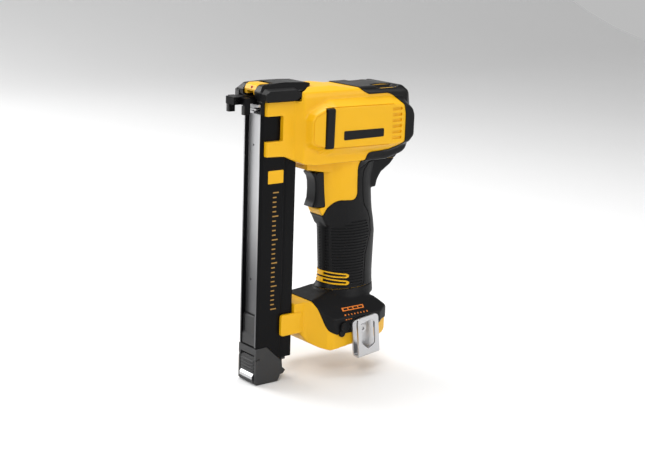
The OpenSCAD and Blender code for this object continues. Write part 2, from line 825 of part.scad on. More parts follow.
module driver_carriage() {
    color("#5a5d61") difference() {
        union() {
            box(carriage_x[0], carriage_x[1], -7.4, 7.4, 239, 257.6);
            box(carriage_x[0], 61, -3.5, 3.5, 238.6, 242.4);
            for (i = [0 : 3]) box(lifter_x - 1 - i * lug_pitch, lifter_x + 1 - i * lug_pitch,
                                  -3.5, 3.5, 235, 239);
        }
        rod_x(0, spring_z, rod_r + run, 20, 70);
        box(20, 33, -8, 8, blade_z - 0.8, blade_z + 0.8);
    }
}
module driver_blade() {
    color(steel) box(-mag_x - 1.8, 33, -7.4, 7.4, blade_z - 0.8, blade_z + 0.8);
}
module bumper() {
    color("#17181a") difference() {
        box(24, carriage_x[0] - gap, -7.4, 7.4, blade_z + 1.4, 256);
        rod_x(0, spring_z, rod_r, 20, 40);
    }
}

housing_left();
housing_right();
rear_guard();
front_hood();
side_rub_bars();
grip_rubber();
grip_inserts();
foot_cover();
battery_terminal_block();
battery_contacts();
control_board();
belt_hook();
belt_hook_screw();
hook_inserts();
housing_screws();
magazine_channel();
magazine_rail();
rail_foot();
magazine_end_cap();
magazine_latch();
latch_pin();
latch_spring();
pusher_rod();
staple_pusher();
pusher_spring();
staple_strip();
nose_block();
nose_plate();
contact_trip();
trip_spring();
release_lever();
lever_pin();
trigger();
trigger_spring();
trigger_switch();
motor_can();
motor_magnets();
motor_rotor();
motor_bearings();
cooling_fan();
motor_pinion();
reduction_gear();
countershaft();
lifter_wheel();
lifter_gear();
lifter_shaft();
shaft_bushings();
gear_frame_left();
gear_frame_right();
drive_front_wall();
spring_seat();
guide_rod();
drive_spring();
driver_carriage();
driver_blade();
bumper();
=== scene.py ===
"""Looks of a cordless cable stapler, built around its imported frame."""
import json
import math

import bmesh
import bpy
from bpy.props import FloatProperty, FloatVectorProperty, IntProperty, PointerProperty
from mathutils import Matrix, Vector

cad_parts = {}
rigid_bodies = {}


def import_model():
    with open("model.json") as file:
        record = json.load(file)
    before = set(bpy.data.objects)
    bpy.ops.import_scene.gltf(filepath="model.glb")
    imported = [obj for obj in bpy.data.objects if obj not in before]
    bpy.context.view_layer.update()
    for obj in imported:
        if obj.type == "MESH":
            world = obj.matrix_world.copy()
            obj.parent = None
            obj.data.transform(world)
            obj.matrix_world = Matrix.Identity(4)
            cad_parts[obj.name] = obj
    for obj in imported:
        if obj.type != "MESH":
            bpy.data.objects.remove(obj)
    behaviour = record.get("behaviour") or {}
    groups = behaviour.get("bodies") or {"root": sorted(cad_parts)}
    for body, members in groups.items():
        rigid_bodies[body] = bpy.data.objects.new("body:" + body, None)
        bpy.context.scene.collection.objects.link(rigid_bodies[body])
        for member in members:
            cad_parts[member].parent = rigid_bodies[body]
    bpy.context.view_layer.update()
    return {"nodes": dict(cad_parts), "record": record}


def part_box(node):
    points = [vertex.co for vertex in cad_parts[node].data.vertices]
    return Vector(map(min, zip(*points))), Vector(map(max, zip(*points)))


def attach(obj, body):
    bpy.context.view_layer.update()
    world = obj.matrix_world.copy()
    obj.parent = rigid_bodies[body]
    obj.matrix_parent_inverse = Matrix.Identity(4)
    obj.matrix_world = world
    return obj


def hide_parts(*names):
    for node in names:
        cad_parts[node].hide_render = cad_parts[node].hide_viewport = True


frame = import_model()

bl_info = {
    "name": "Cordless cable stapler",
    "version": (1, 0, 0),
    "blender": (4, 5, 0),
    "location": "View3D > Sidebar > Stapler",
    "description": "Builds the visible pieces of a cordless cable stapler around its frame",
    "category": "Object",
}

MM = 0.001
FAR = 400

# ---- driving places, in millimetres, taken from the frame ------------------


def reach(node, axis, end):
    """One side of a node's box in millimetres; axis 0 to 2, end 0 low or 1 high."""
    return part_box(node)[end][axis] / MM


MAG_X = reach("magazine_channel", 0, 1)
MAG_Y = reach("magazine_channel", 1, 1)
MAG_TOP = reach("magazine_channel", 2, 1)
BODY_Y = 33.0
FOOT_Y = reach("hook_inserts", 1, 1)
PANEL_X = reach("magazine_rail", 0, 0)
RAIL_Y = reach("magazine_rail", 1, 1)
RAIL_LOW = reach("magazine_rail", 2, 0)
LIP_Y = 10.4
REAR_X = reach("rear_guard", 0, 1) - 1.5

# ---- outlines, in millimetres -----------------------------------------------

BARREL_SIDE = [
    (-15.6, 206), (4, 205), (20, 197.8), (33, 195.8), (112, 195.8), (130, 200.4),
    (REAR_X - 3, 207), (REAR_X, 214), (REAR_X, 240), (REAR_X - 5, 253.6), (129, 260.6),
    (112, 262), (90, 261.4), (73, 261.4), (53, 264), (-15.6, 264),
]
BARREL_SECTION = [
    (-24.2, 194), (24.2, 194), (24.2, 256), (23, 260), (16, 264.6), (-16, 264.6), (-23, 260),
    (-24.2, 256),
]
BARREL_PLAN = [
    (-15.6, -17.6), (13, -17.6), (18.5, -24.2), (134, -24.2), (REAR_X, -18), (REAR_X, 18),
    (134, 24.2), (18.5, 24.2), (13, 17.6), (-15.6, 17.6),
]
HOOD_PLAN = [
    (-24, -23.6), (13, -23.6), (20.4, -20.6), (30, -14.6), (35.6, -8), (37.4, 0), (35.6, 8),
    (30, 14.6), (20.4, 20.6), (13, 23.6), (-24, 23.6),
]
FACE_HEX = [
    (49, 247), (38, 245.6), (25.6, 240), (22.6, 236), (22.6, 219), (25, 216), (38, 211.8),
    (47, 211.4),
]
BULGE_ROOT = [
    (16.5, 214), (16.5, 238), (20, 245), (36, 253), (47, 259), (112, 259), (129, 256.5),
    (138, 247), (REAR_X - 0.8, 240), (REAR_X - 0.8, 212), (135, 204), (118, 198), (108, 196),
    (40, 196), (30, 199), (29, 205.5), (18.5, 210.5),
]
BULGE_FACE = [
    (21.5, 218), (21.5, 236.5), (25, 241.4), (38, 246.8), (48, 247), (112, 246.2), (126, 245),
    (134, 240), (136, 235), (136, 217), (131, 212), (118, 210.6), (108, 210.4), (46, 211.4),
    (38, 211.6), (35.5, 212.4), (24.5, 215),
]
REAR_WEB = [
    (96, 168), (111.4, 168), (112.6, 174), (117, 181), (128, 188), (139, 200), (139, 214),
    (96, 214),
]
FRONT_WEB = [(31, 190), (51, 186.4), (62, 186), (62, 214), (31, 214)]
TRIGGER_LIP = [(50, 151.4), (51.6, 148), (55, 144), (59, 136), (70, 134), (70, 153), (51, 153)]
# Height, front, rear and half width of the grip, from the top down
GRIP_RINGS = [
    (212, 44, 122, 22), (202, 47, 118, 20.6), (192, 49.4, 114.6, 19.4), (180, 50.6, 112, 18.6),
    (166, 51.6, 111.8, 18.2), (154, 53, 112.8, 18), (145, 56, 114, 17.9), (137, 58, 115.8, 17.9),
    (126, 59, 117.4, 18.2),
    (113, 59.6, 117.2, 17.8), (100, 60.4, 117, 17.4), (88, 61, 116.8, 17.2), (80, 60, 117, 17.8),
    (74, 55, 117.6, 19.4), (68, 46, 118, 22),
]
FOOT_SIDE = [
    (26.4, 46), (29, 39), (34, 32.6), (41, 28.6), (48.4, 26.5), (111, 33.3), (117, 38),
    (121.6, 44), (117, 55), (105, 66.4), (60, 75.4), (49, 72.6), (37, 70.6), (26.6, 70),
]
FOOT_PLAN = [
    (26.4, -13), (33, -18), (45, -32.4), (51, -35.1), (103, -35.1), (114, -30), (120.4, -18),
    (120.4, 18), (114, 30), (103, 35.1), (51, 35.1), (45, 32.4), (33, 18), (26.4, 13),
]
FOOT_SECTION = [
    (-35.1, 20), (35.1, 20), (35.1, 55), (27, 63.5), (12, 76.4), (-12, 76.4), (-27, 63.5), (-35.1, 55),
]
GUARD_ZONE = [
    (48, 139), (55, 148), (61, 157), (67, 160), (82, 159), (85.4, 163), (84, 190),
    (91, 203), (113, 204), (122, 207), (126, 212), (126, 236), (124, 245), (119, 252),
    (112, 255), (89, 255), (81, 259.4), (72, 270), (FAR, 270), (FAR, 70), (40, 70), (40, 139),
]
FOOT_ZONE = [
    (33.4, 90), (33.8, 75), (36.6, 70.6), (38.6, 66), (41.4, 57), (43.6, 49.6), (46, 45), (53, 41),
    (66, 40.6), (96, 40.6), (108, 47), (FAR, 56), (FAR, 90),
]
UPPER_ZONE = [(60, 186), (86, 188), (97, 193), (FAR, 191.6), (FAR, 300), (60, 300)]
SPINE_SEAM = [
    (136, 196), (120, 194.6), (98, 192.6), (91.6, 186), (91, 178), (92.6, 160), (95, 152.6),
    (100, 147), (103.4, 139), (104.4, 128), (100.6, 115), (98.2, 107), (98, 80), (94, 76.4),
    (80, 75.8), (58, 77.4),
]
RIB_PANEL = [
    (46, 135), (70, 134.6), (79, 137.4), (82.6, 143), (93, 143.4), (98.6, 138), (102, 127),
    (98.4, 115), (95.8, 107), (95.6, 80), (92, 77.6), (46, 78.4),
]
# Place in XZ of each housing screw, and the depth of its head's seat
SCREWS = [
    (26, 204, 26.5), (108, 203.5, 26.5), (134, 250, 24.5), (103, 173, 9), (88, 105, 13.5),
    (40, 47, 19),
]
HOOK_AT = (80, 44)
FOOT_TILT = math.radians(6)
SLIDE_START = (48, 26)
ARM_GAP = (219, 241)

# ---- settings ---------------------------------------------------------------


class StaplerSizes(bpy.types.PropertyGroup):
    """Sizes of the surface detail."""

    pitch: FloatProperty(
        name="Form pitch", description="Grid that the moulded forms are softened on",
        default=0.95 * MM, unit="LENGTH",
    )
    rise: FloatProperty(
        name="Overmould rise", description="Height of the soft overmould above the housing",
        default=0.9 * MM, unit="LENGTH",
    )
    bite: FloatProperty(
        name="Overmould depth", description="Depth of the overmould into the housing",
        default=1.3 * MM, unit="LENGTH",
    )
    wall: FloatProperty(
        name="Housing wall", description="Wall thickness of the housing halves",
        default=3.4 * MM, unit="LENGTH",
    )
    rib_pitch: FloatProperty(
        name="Rib pitch", description="Distance between the grip's ribs",
        default=2.7 * MM, unit="LENGTH",
    )
    groove: FloatProperty(
        name="Groove depth", description="Depth of seams and rib grooves",
        default=0.75 * MM, unit="LENGTH",
    )
    vents: IntProperty(name="Vent slots", description="Slots on each side", default=6, min=1)


class StaplerColours(bpy.types.PropertyGroup):
    """Base colours of the finishes."""

    yellow: FloatVectorProperty(
        name="Housing", description="Moulded housing", subtype="COLOR",
        default=(0.80, 0.425, 0.003),
    )
    black: FloatVectorProperty(
        name="Black plastic", description="Hard black mouldings", subtype="COLOR",
        default=(0.004, 0.004, 0.0045),
    )
    rubber: FloatVectorProperty(
        name="Overmould", description="Soft rubber", subtype="COLOR",
        default=(0.005, 0.005, 0.0055),
    )
    grey: FloatVectorProperty(
        name="Grey plastic", description="Magazine foot and end cap", subtype="COLOR",
        default=(0.018, 0.018, 0.019),
    )
    steel: FloatVectorProperty(
        name="Steel", description="Bright steel", subtype="COLOR",
        default=(0.58, 0.58, 0.59),
    )
    mark: FloatVectorProperty(
        name="Marks", description="Coloured marks on the foot and magazine", subtype="COLOR",
        default=(0.78, 0.20, 0.012),
    )


# ---- shader maths ------------------------------------------------------------


class Wire:
    """A shader socket that takes part in sums as a number does."""

    def __init__(self, paint, socket):
        self.paint = paint
        self.socket = socket

    def _sum(self, operation, first, second):
        return self.paint.node("ShaderNodeMath", {0: first, 1: second}, operation=operation)

    def __add__(self, other):
        return self._sum("ADD", self, other)

    def __radd__(self, other):
        return self._sum("ADD", other, self)

    def __sub__(self, other):
        return self._sum("SUBTRACT", self, other)

    def __rsub__(self, other):
        return self._sum("SUBTRACT", other, self)

    def __mul__(self, other):
        return self._sum("MULTIPLY", self, other)

    def __rmul__(self, other):
        return self._sum("MULTIPLY", other, self)


class Paint:
    """A material whose nodes are added one call at a time."""

    def __init__(self, name, **constants):
        self.material = bpy.data.materials.new(name)
        self.material.use_nodes = True
        self.tree = self.material.node_tree
        self.shader = self.tree.nodes["Principled BSDF"]
        for key, value in constants.items():
            self.shader.inputs[key.replace("_", " ")].default_value = value

    def node(self, kind, inputs=None, out=0, stops=None, **settings):
        """A new node of that kind; returns one of its outputs."""
        made = self.tree.nodes.new(kind)
        for key, value in settings.items():
            setattr(made, key, value)
        if stops:
            for element, (place, shade) in zip(made.color_ramp.elements, stops):
                element.position = place
                element.color = shade
        for key, value in (inputs or {}).items():
            self.link(made.inputs[key], value)
        return Wire(self, made.outputs[out])

    def link(self, socket, value):
        """Connects a wire to a socket, or sets the socket to a number or colour."""
        if isinstance(value, Wire):
            self.tree.links.new(socket, value.socket)
        else:
            socket.default_value = value

    def place(self, stretch=(1, 1, 1)):
        """Object coordinates, stretched."""
        coords = self.node("ShaderNodeTexCoord", out="Object")
        return self.node("ShaderNodeMapping", {"Vector": coords, "Scale": stretch})

    def noise(self, size_mm, detail=2.0, stretch=(1, 1, 1)):
        """Noise whose grain is about size_mm."""
        inputs = {"Vector": self.place(stretch), "Scale": 1 / (size_mm * MM), "Detail": detail}
        return self.node("ShaderNodeTexNoise", inputs, out="Fac")

    def blend(self, amount, first, second):
        """A colour between two others."""
        inputs = {0: amount, 6: (*first, 1), 7: (*second, 1)}
        return self.node("ShaderNodeMix", inputs, out=2, data_type="RGBA")

    def height(self, wire, depth_mm, strength=1.0):
        """Feeds a bump of that depth to the shader's normal."""
        inputs = {"Height": wire, "Distance": depth_mm * MM, "Strength": strength}
        self.link(self.shader.inputs["Normal"], self.node("ShaderNodeBump", inputs, out="Normal"))

    def feed(self, **wires):
        """Connects wires to the shader's own sockets."""
        for key, wire in wires.items():
            self.link(self.shader.inputs[key.replace("_", " ")], wire)


def shade(colour, factor):
    """A colour made darker or lighter."""
    return tuple(min(1.0, part * factor) for part in colour)


def moulded(name, colour, roughness, grain_mm=0.5, depth_mm=0.03, spread=0.06, specular=0.5):
    """Moulded plastic or rubber with a fine spark-eroded grain and slight flow marks."""
    paint = Paint(name, Specular_IOR_Level=specular)
    grain = paint.noise(grain_mm)
    flow = paint.noise(22, 3)
    scuff = paint.noise(5, 4, (1, 1, 0.35))
    paint.feed(
        Base_Color=paint.blend(flow, shade(colour, 1 - spread), shade(colour, 1 + spread)),
        Roughness=roughness - 0.09 + 0.10 * flow + 0.05 * scuff + 0.03 * grain,
    )
    paint.height(grain + 0.4 * scuff, depth_mm)
    return paint.material


def metal(name, colour, roughness, stretch=(1, 1, 1), grain_mm=0.6, depth_mm=0.01, spread=0.12):
    """Bare metal with drawn or ground streaks."""
    paint = Paint(name, Metallic=1.0)
    streak = paint.noise(grain_mm, 3, stretch)
    cloud = paint.noise(14, 3)
    paint.feed(
        Base_Color=paint.blend(streak, shade(colour, 1 - spread), shade(colour, 1 + spread)),
        Roughness=roughness - 0.10 + 0.14 * streak + 0.08 * cloud,
    )
    paint.height(streak, depth_mm)
    return paint.material


def steel_with_painted_shade(name, colour, painted_shade_colour, low, high, roughness):
    """Ground steel with painted shade: darker below a height, standing in for a reflection that falls off
    down the part.
    """
    paint = Paint(name, Metallic=0.85)
    # Painted shade: the base colour fades from the steel's colour to the dark colour below the given
    # heights.
    split = paint.node("ShaderNodeSeparateXYZ", {0: paint.place()}, out="Z")
    painted_shade_fade = paint.node(
        "ShaderNodeMapRange", {0: split, 1: low * MM, 2: high * MM}, interpolation_type="SMOOTHSTEP"
    )
    streak = paint.noise(0.7, 3, (1, 1, 0.05))
    paint.feed(
        Base_Color=paint.blend(painted_shade_fade, painted_shade_colour, colour),
        Roughness=roughness - 0.06 + 0.12 * streak,
    )
    paint.height(streak, 0.006)
    return paint.material


FINISHES = {}


def make_finishes(colours):
    """Every finish that the tool uses, by its slot's name."""
    FINISHES.update(
        yellow_plastic=moulded("yellow_plastic", colours.yellow, 0.38, 0.42, 0.02, 0.04, 0.3),
        black_plastic=moulded("black_plastic", colours.black, 0.32, 0.45, 0.03, 0.18, 0.2),
        soft_rubber=moulded("soft_rubber", colours.rubber, 0.42, 0.5, 0.05, 0.16, 0.15),
        grey_plastic=moulded("grey_plastic", colours.grey, 0.50, 0.5, 0.06, 0.12),
        black_coated_steel=moulded(
            "black_coated_steel", (0.0025, 0.0025, 0.003), 0.30, 0.9, 0.02, 0.1, 0.1
        ),
        bright_steel=metal("bright_steel", colours.steel, 0.36, (1, 0.08, 1)),
        spring_steel=metal("spring_steel", (0.42, 0.43, 0.45), 0.32),
        zinc_steel=metal("zinc_steel", (0.52, 0.53, 0.56), 0.34, grain_mm=1.6),
        cast_aluminium=metal("cast_aluminium", (0.55, 0.56, 0.58), 0.55, grain_mm=0.4, depth_mm=0.05),
        brass=metal("brass", (0.72, 0.50, 0.20), 0.32),
        sintered_steel=metal("sintered_steel", (0.26, 0.27, 0.28), 0.48, grain_mm=0.3, depth_mm=0.03),
        red_plastic=moulded("red_plastic", (0.42, 0.02, 0.015), 0.40),
        board_green=moulded("board_green", (0.02, 0.12, 0.04), 0.35, 1.2, 0.02),
        mark=moulded("mark", colours.mark, 0.5),
        gold_print=moulded("gold_print", (0.36, 0.19, 0.03), 0.5),
        # Painted shade on the rail and lips: darker below 80 to 190 mm, standing in for a reflection
        # falling off.
        panel_steel=steel_with_painted_shade("panel_steel", (0.60, 0.60, 0.61), (0.13, 0.13, 0.135), 80, 190, 0.42),
    )


# ---- modelling ----------------------------------------------------------------


def only(piece):
    """Selects one object alone and makes it active."""
    bpy.ops.object.select_all(action="DESELECT")
    piece.select_set(True)
    bpy.context.view_layer.objects.active = piece


def pick(piece, test, kind="faces"):
    """In edit mode, selects just the faces, edges or vertices that pass a test."""
    mode = {"faces": "FACE", "edges": "EDGE", "verts": "VERT"}[kind]
    bpy.ops.mesh.select_mode(type=mode)
    bpy.ops.mesh.select_all(action="DESELECT")
    mesh = bmesh.from_edit_mesh(piece.data)
    for item in getattr(mesh, kind):
        item.select_set(bool(test(item)))
    mesh.select_flush_mode()
    bmesh.update_edit_mesh(piece.data)


def edit(piece):
    """Enters edit mode on one object."""
    only(piece)
    bpy.ops.object.mode_set(mode="EDIT")


def leave():
    """Leaves edit mode."""
    bpy.ops.object.mode_set(mode="OBJECT")


def in_space(axis, point, at):
    """A point of an outline normal to an axis, in metres."""
    a, b = point
    spots = {"X": (at, a, b), "Y": (a, at, b), "Z": (a, b, at)}
    return Vector(spots[axis]) * MM


def along(axis, distance):
    """A vector along an axis, in metres."""
    return Vector([distance * MM if axis == name else 0 for name in "XYZ"])


def slab(name, axis, outline, low, high, corner=0.0, steps=3):
    """A solid drawn point by point across an axis and pulled out along it."""
    bpy.ops.object.select_all(action="DESELECT")
    spots = [in_space(axis, point, low) for point in outline]
    bpy.ops.mesh.primitive_plane_add(size=MM, location=spots[0])
    piece = bpy.context.object
    piece.name = name
    bpy.ops.object.transform_apply(location=True, rotation=False, scale=False)
    bpy.ops.object.mode_set(mode="EDIT")
    bpy.ops.mesh.select_mode(type="VERT")
    bpy.ops.mesh.select_all(action="SELECT")
    bpy.ops.mesh.merge(type="CENTER")
    for last, spot in zip(spots, spots[1:]):
        bpy.ops.mesh.extrude_region_move(TRANSFORM_OT_translate={"value": spot - last})
    ends = (spots[0], spots[-1])
    pick(piece, lambda v: min((v.co - end).length for end in ends) < 1e-6, "verts")
    bpy.ops.mesh.edge_face_add()
    bpy.ops.mesh.select_all(action="SELECT")
    bpy.ops.mesh.edge_face_add()
    if corner:
        bpy.ops.mesh.bevel(affect="VERTICES", offset=corner * MM, segments=steps)
    bpy.ops.mesh.select_all(action="SELECT")
    bpy.ops.mesh.extrude_region_move(TRANSFORM_OT_translate={"value": along(axis, high - low)})
    face_out(piece)
    return piece


def face_out(piece):
    """Turns every face outwards and leaves edit mode."""
    if piece.mode != "EDIT":
        edit(piece)
    bpy.ops.mesh.select_mode(type="FACE")
    bpy.ops.mesh.select_all(action="SELECT")
    bpy.ops.mesh.normals_make_consistent(inside=False)
    leave()


def taper(name, axis, first, second, low, high):
    """A slab whose far outline has its points moved to a second outline."""
    piece = slab(name, axis, first, low, high)
    edit(piece)
    for a, b in zip(first, second):
        spot = in_space(axis, a, high)
        pick(piece, lambda v: (v.co - spot).length < 1e-6, "verts")
        bpy.ops.transform.translate(value=in_space(axis, b, high) - spot)
    face_out(piece)
    return piece


def box(name, x, y, z, corner=0.0, axis="Y"):
    """A block between pairs of coordinates, its corners across one axis rounded."""
    spans = {"X": (y, z, x), "Y": (x, z, y), "Z": (x, y, z)}
    (a0, a1), (b0, b1), (low, high) = spans[axis]
    return slab(name, axis, [(a0, b0), (a1, b0), (a1, b1), (a0, b1)], low, high, corner)


def rod(name, axis, centre, radius, low, high, sides=32):
    """A round bar along an axis."""
    turns = [2 * math.pi * i / sides for i in range(sides)]
    outline = [(centre[0] + radius * math.cos(t), centre[1] + radius * math.sin(t)) for t in turns]
    return slab(name, axis, outline, low, high)


def twin(piece, name):
    """A copy with its own mesh."""
    other = piece.copy()
    other.data = piece.data.copy()
    other.name = name
    bpy.context.scene.collection.objects.link(other)
    return other


def bake(piece, kind, **settings):
    """Adds one modifier and applies it."""
    only(piece)
    modifier = piece.modifiers.new(kind, kind)
    for key, value in settings.items():
        setattr(modifier, key, value)
    bpy.ops.object.modifier_apply(modifier=modifier.name)
    return piece


def combine(piece, tool, operation, keep=False):
    """A boolean of two solids; the tool is used up unless it is kept."""
    bake(piece, "BOOLEAN", object=tool, operation=operation, solver="MANIFOLD")
    if not piece.data.polygons:
        raise RuntimeError(f"{piece.name}: nothing is left after {operation} with {tool.name}")
    if not keep:
        bpy.data.objects.remove(tool)
    return piece


def cut(piece, *tools, keep=False):
    """Takes solids away from a piece."""
    for tool in tools:
        combine(piece, tool, "DIFFERENCE", keep)
    return piece


def unite(piece, *others, keep=False):
    """Adds solids to a piece."""
    for other in others:
        combine(piece, other, "UNION", keep)
    return piece


def trim(piece, *tools, keep=False):
    """Leaves only what lies inside each solid."""
    for tool in tools:
        combine(piece, tool, "INTERSECT", keep)
    return piece


def soften(piece, pitch, rounds, factor=0.5):
    """Remakes a solid on an even grid and rounds its edges."""
    bake(piece, "REMESH", mode="VOXEL", voxel_size=pitch)
    if rounds:
        bake(piece, "SMOOTH", factor=factor, iterations=rounds)
    return piece


def grow(piece, distance):
    """Moves the surface outwards by a distance, or inwards if it is negative."""
    return bake(piece, "DISPLACE", strength=distance, mid_level=0.0, direction="NORMAL")


def round_edges(piece, width_mm, angle=35, segments=3):
    """Rounds the sharp edges of a piece."""
    return bake(
        piece, "BEVEL", width=width_mm * MM, segments=segments, limit_method="ANGLE",
        angle_limit=math.radians(angle), miter_outer="MITER_ARC", use_clamp_overlap=True,
    )


def merged(name, pieces):
    """Joins separate solids into one object."""
    bpy.ops.object.select_all(action="DESELECT")
    for piece in pieces:
        piece.select_set(True)
    bpy.context.view_layer.objects.active = pieces[0]
    bpy.ops.object.join()
    pieces[0].name = name
    return pieces[0]


def finish(piece, finish_name, body, *nodes, angle=32, slot=None):
    """Shades a piece, gives it its finish, hangs it on its body and hides the frame nodes that it covers.
    """
    only(piece)
    bpy.ops.object.shade_smooth_by_angle(angle=math.radians(angle))
    bake(piece, "WEIGHTED_NORMAL", keep_sharp=True, weight=80)
    piece.data.materials.clear()
    piece.data.materials.append(FINISHES[finish_name])
    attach(piece, body)
    if nodes:
        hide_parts(*nodes)
    return piece


def ribbon(path, width):
    """The outline of a band that follows a path."""
    left = []
    right = []
    for i, point in enumerate(path):
        a = Vector(path[max(i - 1, 0)])
        b = Vector(path[min(i + 1, len(path) - 1)])
        across = (b - a).orthogonal().normalized() * width / 2
        left.append(tuple(Vector(point) + across))
        right.append(tuple(Vector(point) - across))
    return left + right[::-1]


def tilted(point, about, angle):
    """A point of an XZ outline turned about another."""
    dx, dz = point[0] - about[0], point[1] - about[1]
    c, s = math.cos(angle), math.sin(angle)
    return (about[0] + dx * c - dz * s, about[1] + dx * s + dz * c)


# ---- the shared form -----------------------------------------------------------


def tool_form():
    """The outer form of housing and overmoulds together, softened as a moulding is."""
    sizes = bpy.context.scene.stapler_sizes
    form = slab("form", "Y", BARREL_SIDE, -24.2, 24.2)
    trim(form, slab("tool", "X", BARREL_SECTION, -20, 150), slab("tool", "Z", BARREL_PLAN, 190, 270))
    for side in (-1, 1):
        unite(form, taper("bulge", "Y", BULGE_ROOT, BULGE_FACE, side * 15, side * BODY_Y))
    webs = [slab("web", "Y", REAR_WEB, -12, 12), slab("web", "Y", FRONT_WEB, -13.5, 13.5),
            slab("web", "Y", TRIGGER_LIP, -9.4, 9.4)]
    foot = slab("foot", "Y", FOOT_SIDE, -40, 40)
    trim(foot, slab("tool", "X", FOOT_SECTION, 0, 130), slab("tool", "Z", FOOT_PLAN, 0, 90))
    unite(form, *webs, grip_loft(), foot)
    return soften(form, sizes.pitch, 2)


def grip_loft():
    """The grip, drawn down ring by ring from an oval."""
    top, front, rear, half = GRIP_RINGS[0]
    bpy.ops.object.select_all(action="DESELECT")
    bpy.ops.mesh.primitive_circle_add(vertices=40, radius=MM, fill_type="NGON")
    piece = bpy.context.object
    piece.name = "grip"
    bpy.ops.object.mode_set(mode="EDIT")
    bpy.ops.mesh.select_all(action="SELECT")
    centre = Vector(((front + rear) / 2, 0, top)) * MM
    bpy.ops.transform.resize(value=((rear - front) / 2, half, 1), center_override=(0, 0, 0))
    bpy.ops.transform.translate(value=centre)
    size = ((rear - front) / 2, half)
    for height, front, rear, half in GRIP_RINGS[1:]:
        spot = Vector(((front + rear) / 2, 0, height)) * MM
        bpy.ops.mesh.extrude_region_move(TRANSFORM_OT_translate={"value": spot - centre})
        scale = ((rear - front) / 2 / size[0], half / size[1], 1)
        bpy.ops.transform.resize(value=scale, center_override=spot)
        centre, size = spot, ((rear - front) / 2, half)
    face_out(piece)
    return piece


def form(growth_mm=0.0, name="form_copy"):
    """A copy of the shared form, grown or shrunk."""
    if "form" not in bpy.data.objects:
        tool_form()
    piece = twin(bpy.data.objects["form"], name)
    if growth_mm:
        grow(piece, growth_mm * MM)
    return piece


def finger_rest(side):
    """A shallow rest for the fingers on top of the body's rear end."""
    return box("rest", (96, 126), (14 * side, 40 * side), (259.6, 280), 6)


def screw_wells():
    """Wells that the screw heads sit in on the far side."""
    wells = [rod("well", "Y", (x, z), 3.3, y, 60) for x, z, y in SCREWS]
    return merged("wells", wells)


def slide_space():
    """The space of the battery slide, which tilts up to the rear."""
    pieces = []
    for half, low, high in ((24, -20, 11), (27.5, 4, 11)):
        outline = [(2, low), (90, low), (90, high), (2, high)]
        turned = [
            tilted((SLIDE_START[0] + a, SLIDE_START[1] + b), SLIDE_START, FOOT_TILT)
            for a, b in outline
        ]
        pieces.append(slab("slide", "Y", turned, -half, half))
    return unite(pieces[0], pieces[1])


# ---- operators -------------------------------------------------------------------


class STAPLER_OT_finishes(bpy.types.Operator):
    """Gives every piece of the frame its own finish."""

    bl_idname = "stapler.finishes"
    bl_label = "Finishes"

    def execute(self, context):
        make_finishes(context.scene.stapler_colours)
        slots = {part["node"]: part["material_slot"] for part in frame["record"]["subparts"]}
        for name, node in frame["nodes"].items():
            node.data.materials.clear()
            node.data.materials.append(FINISHES[slots[name]])
        return {"FINISHED"}


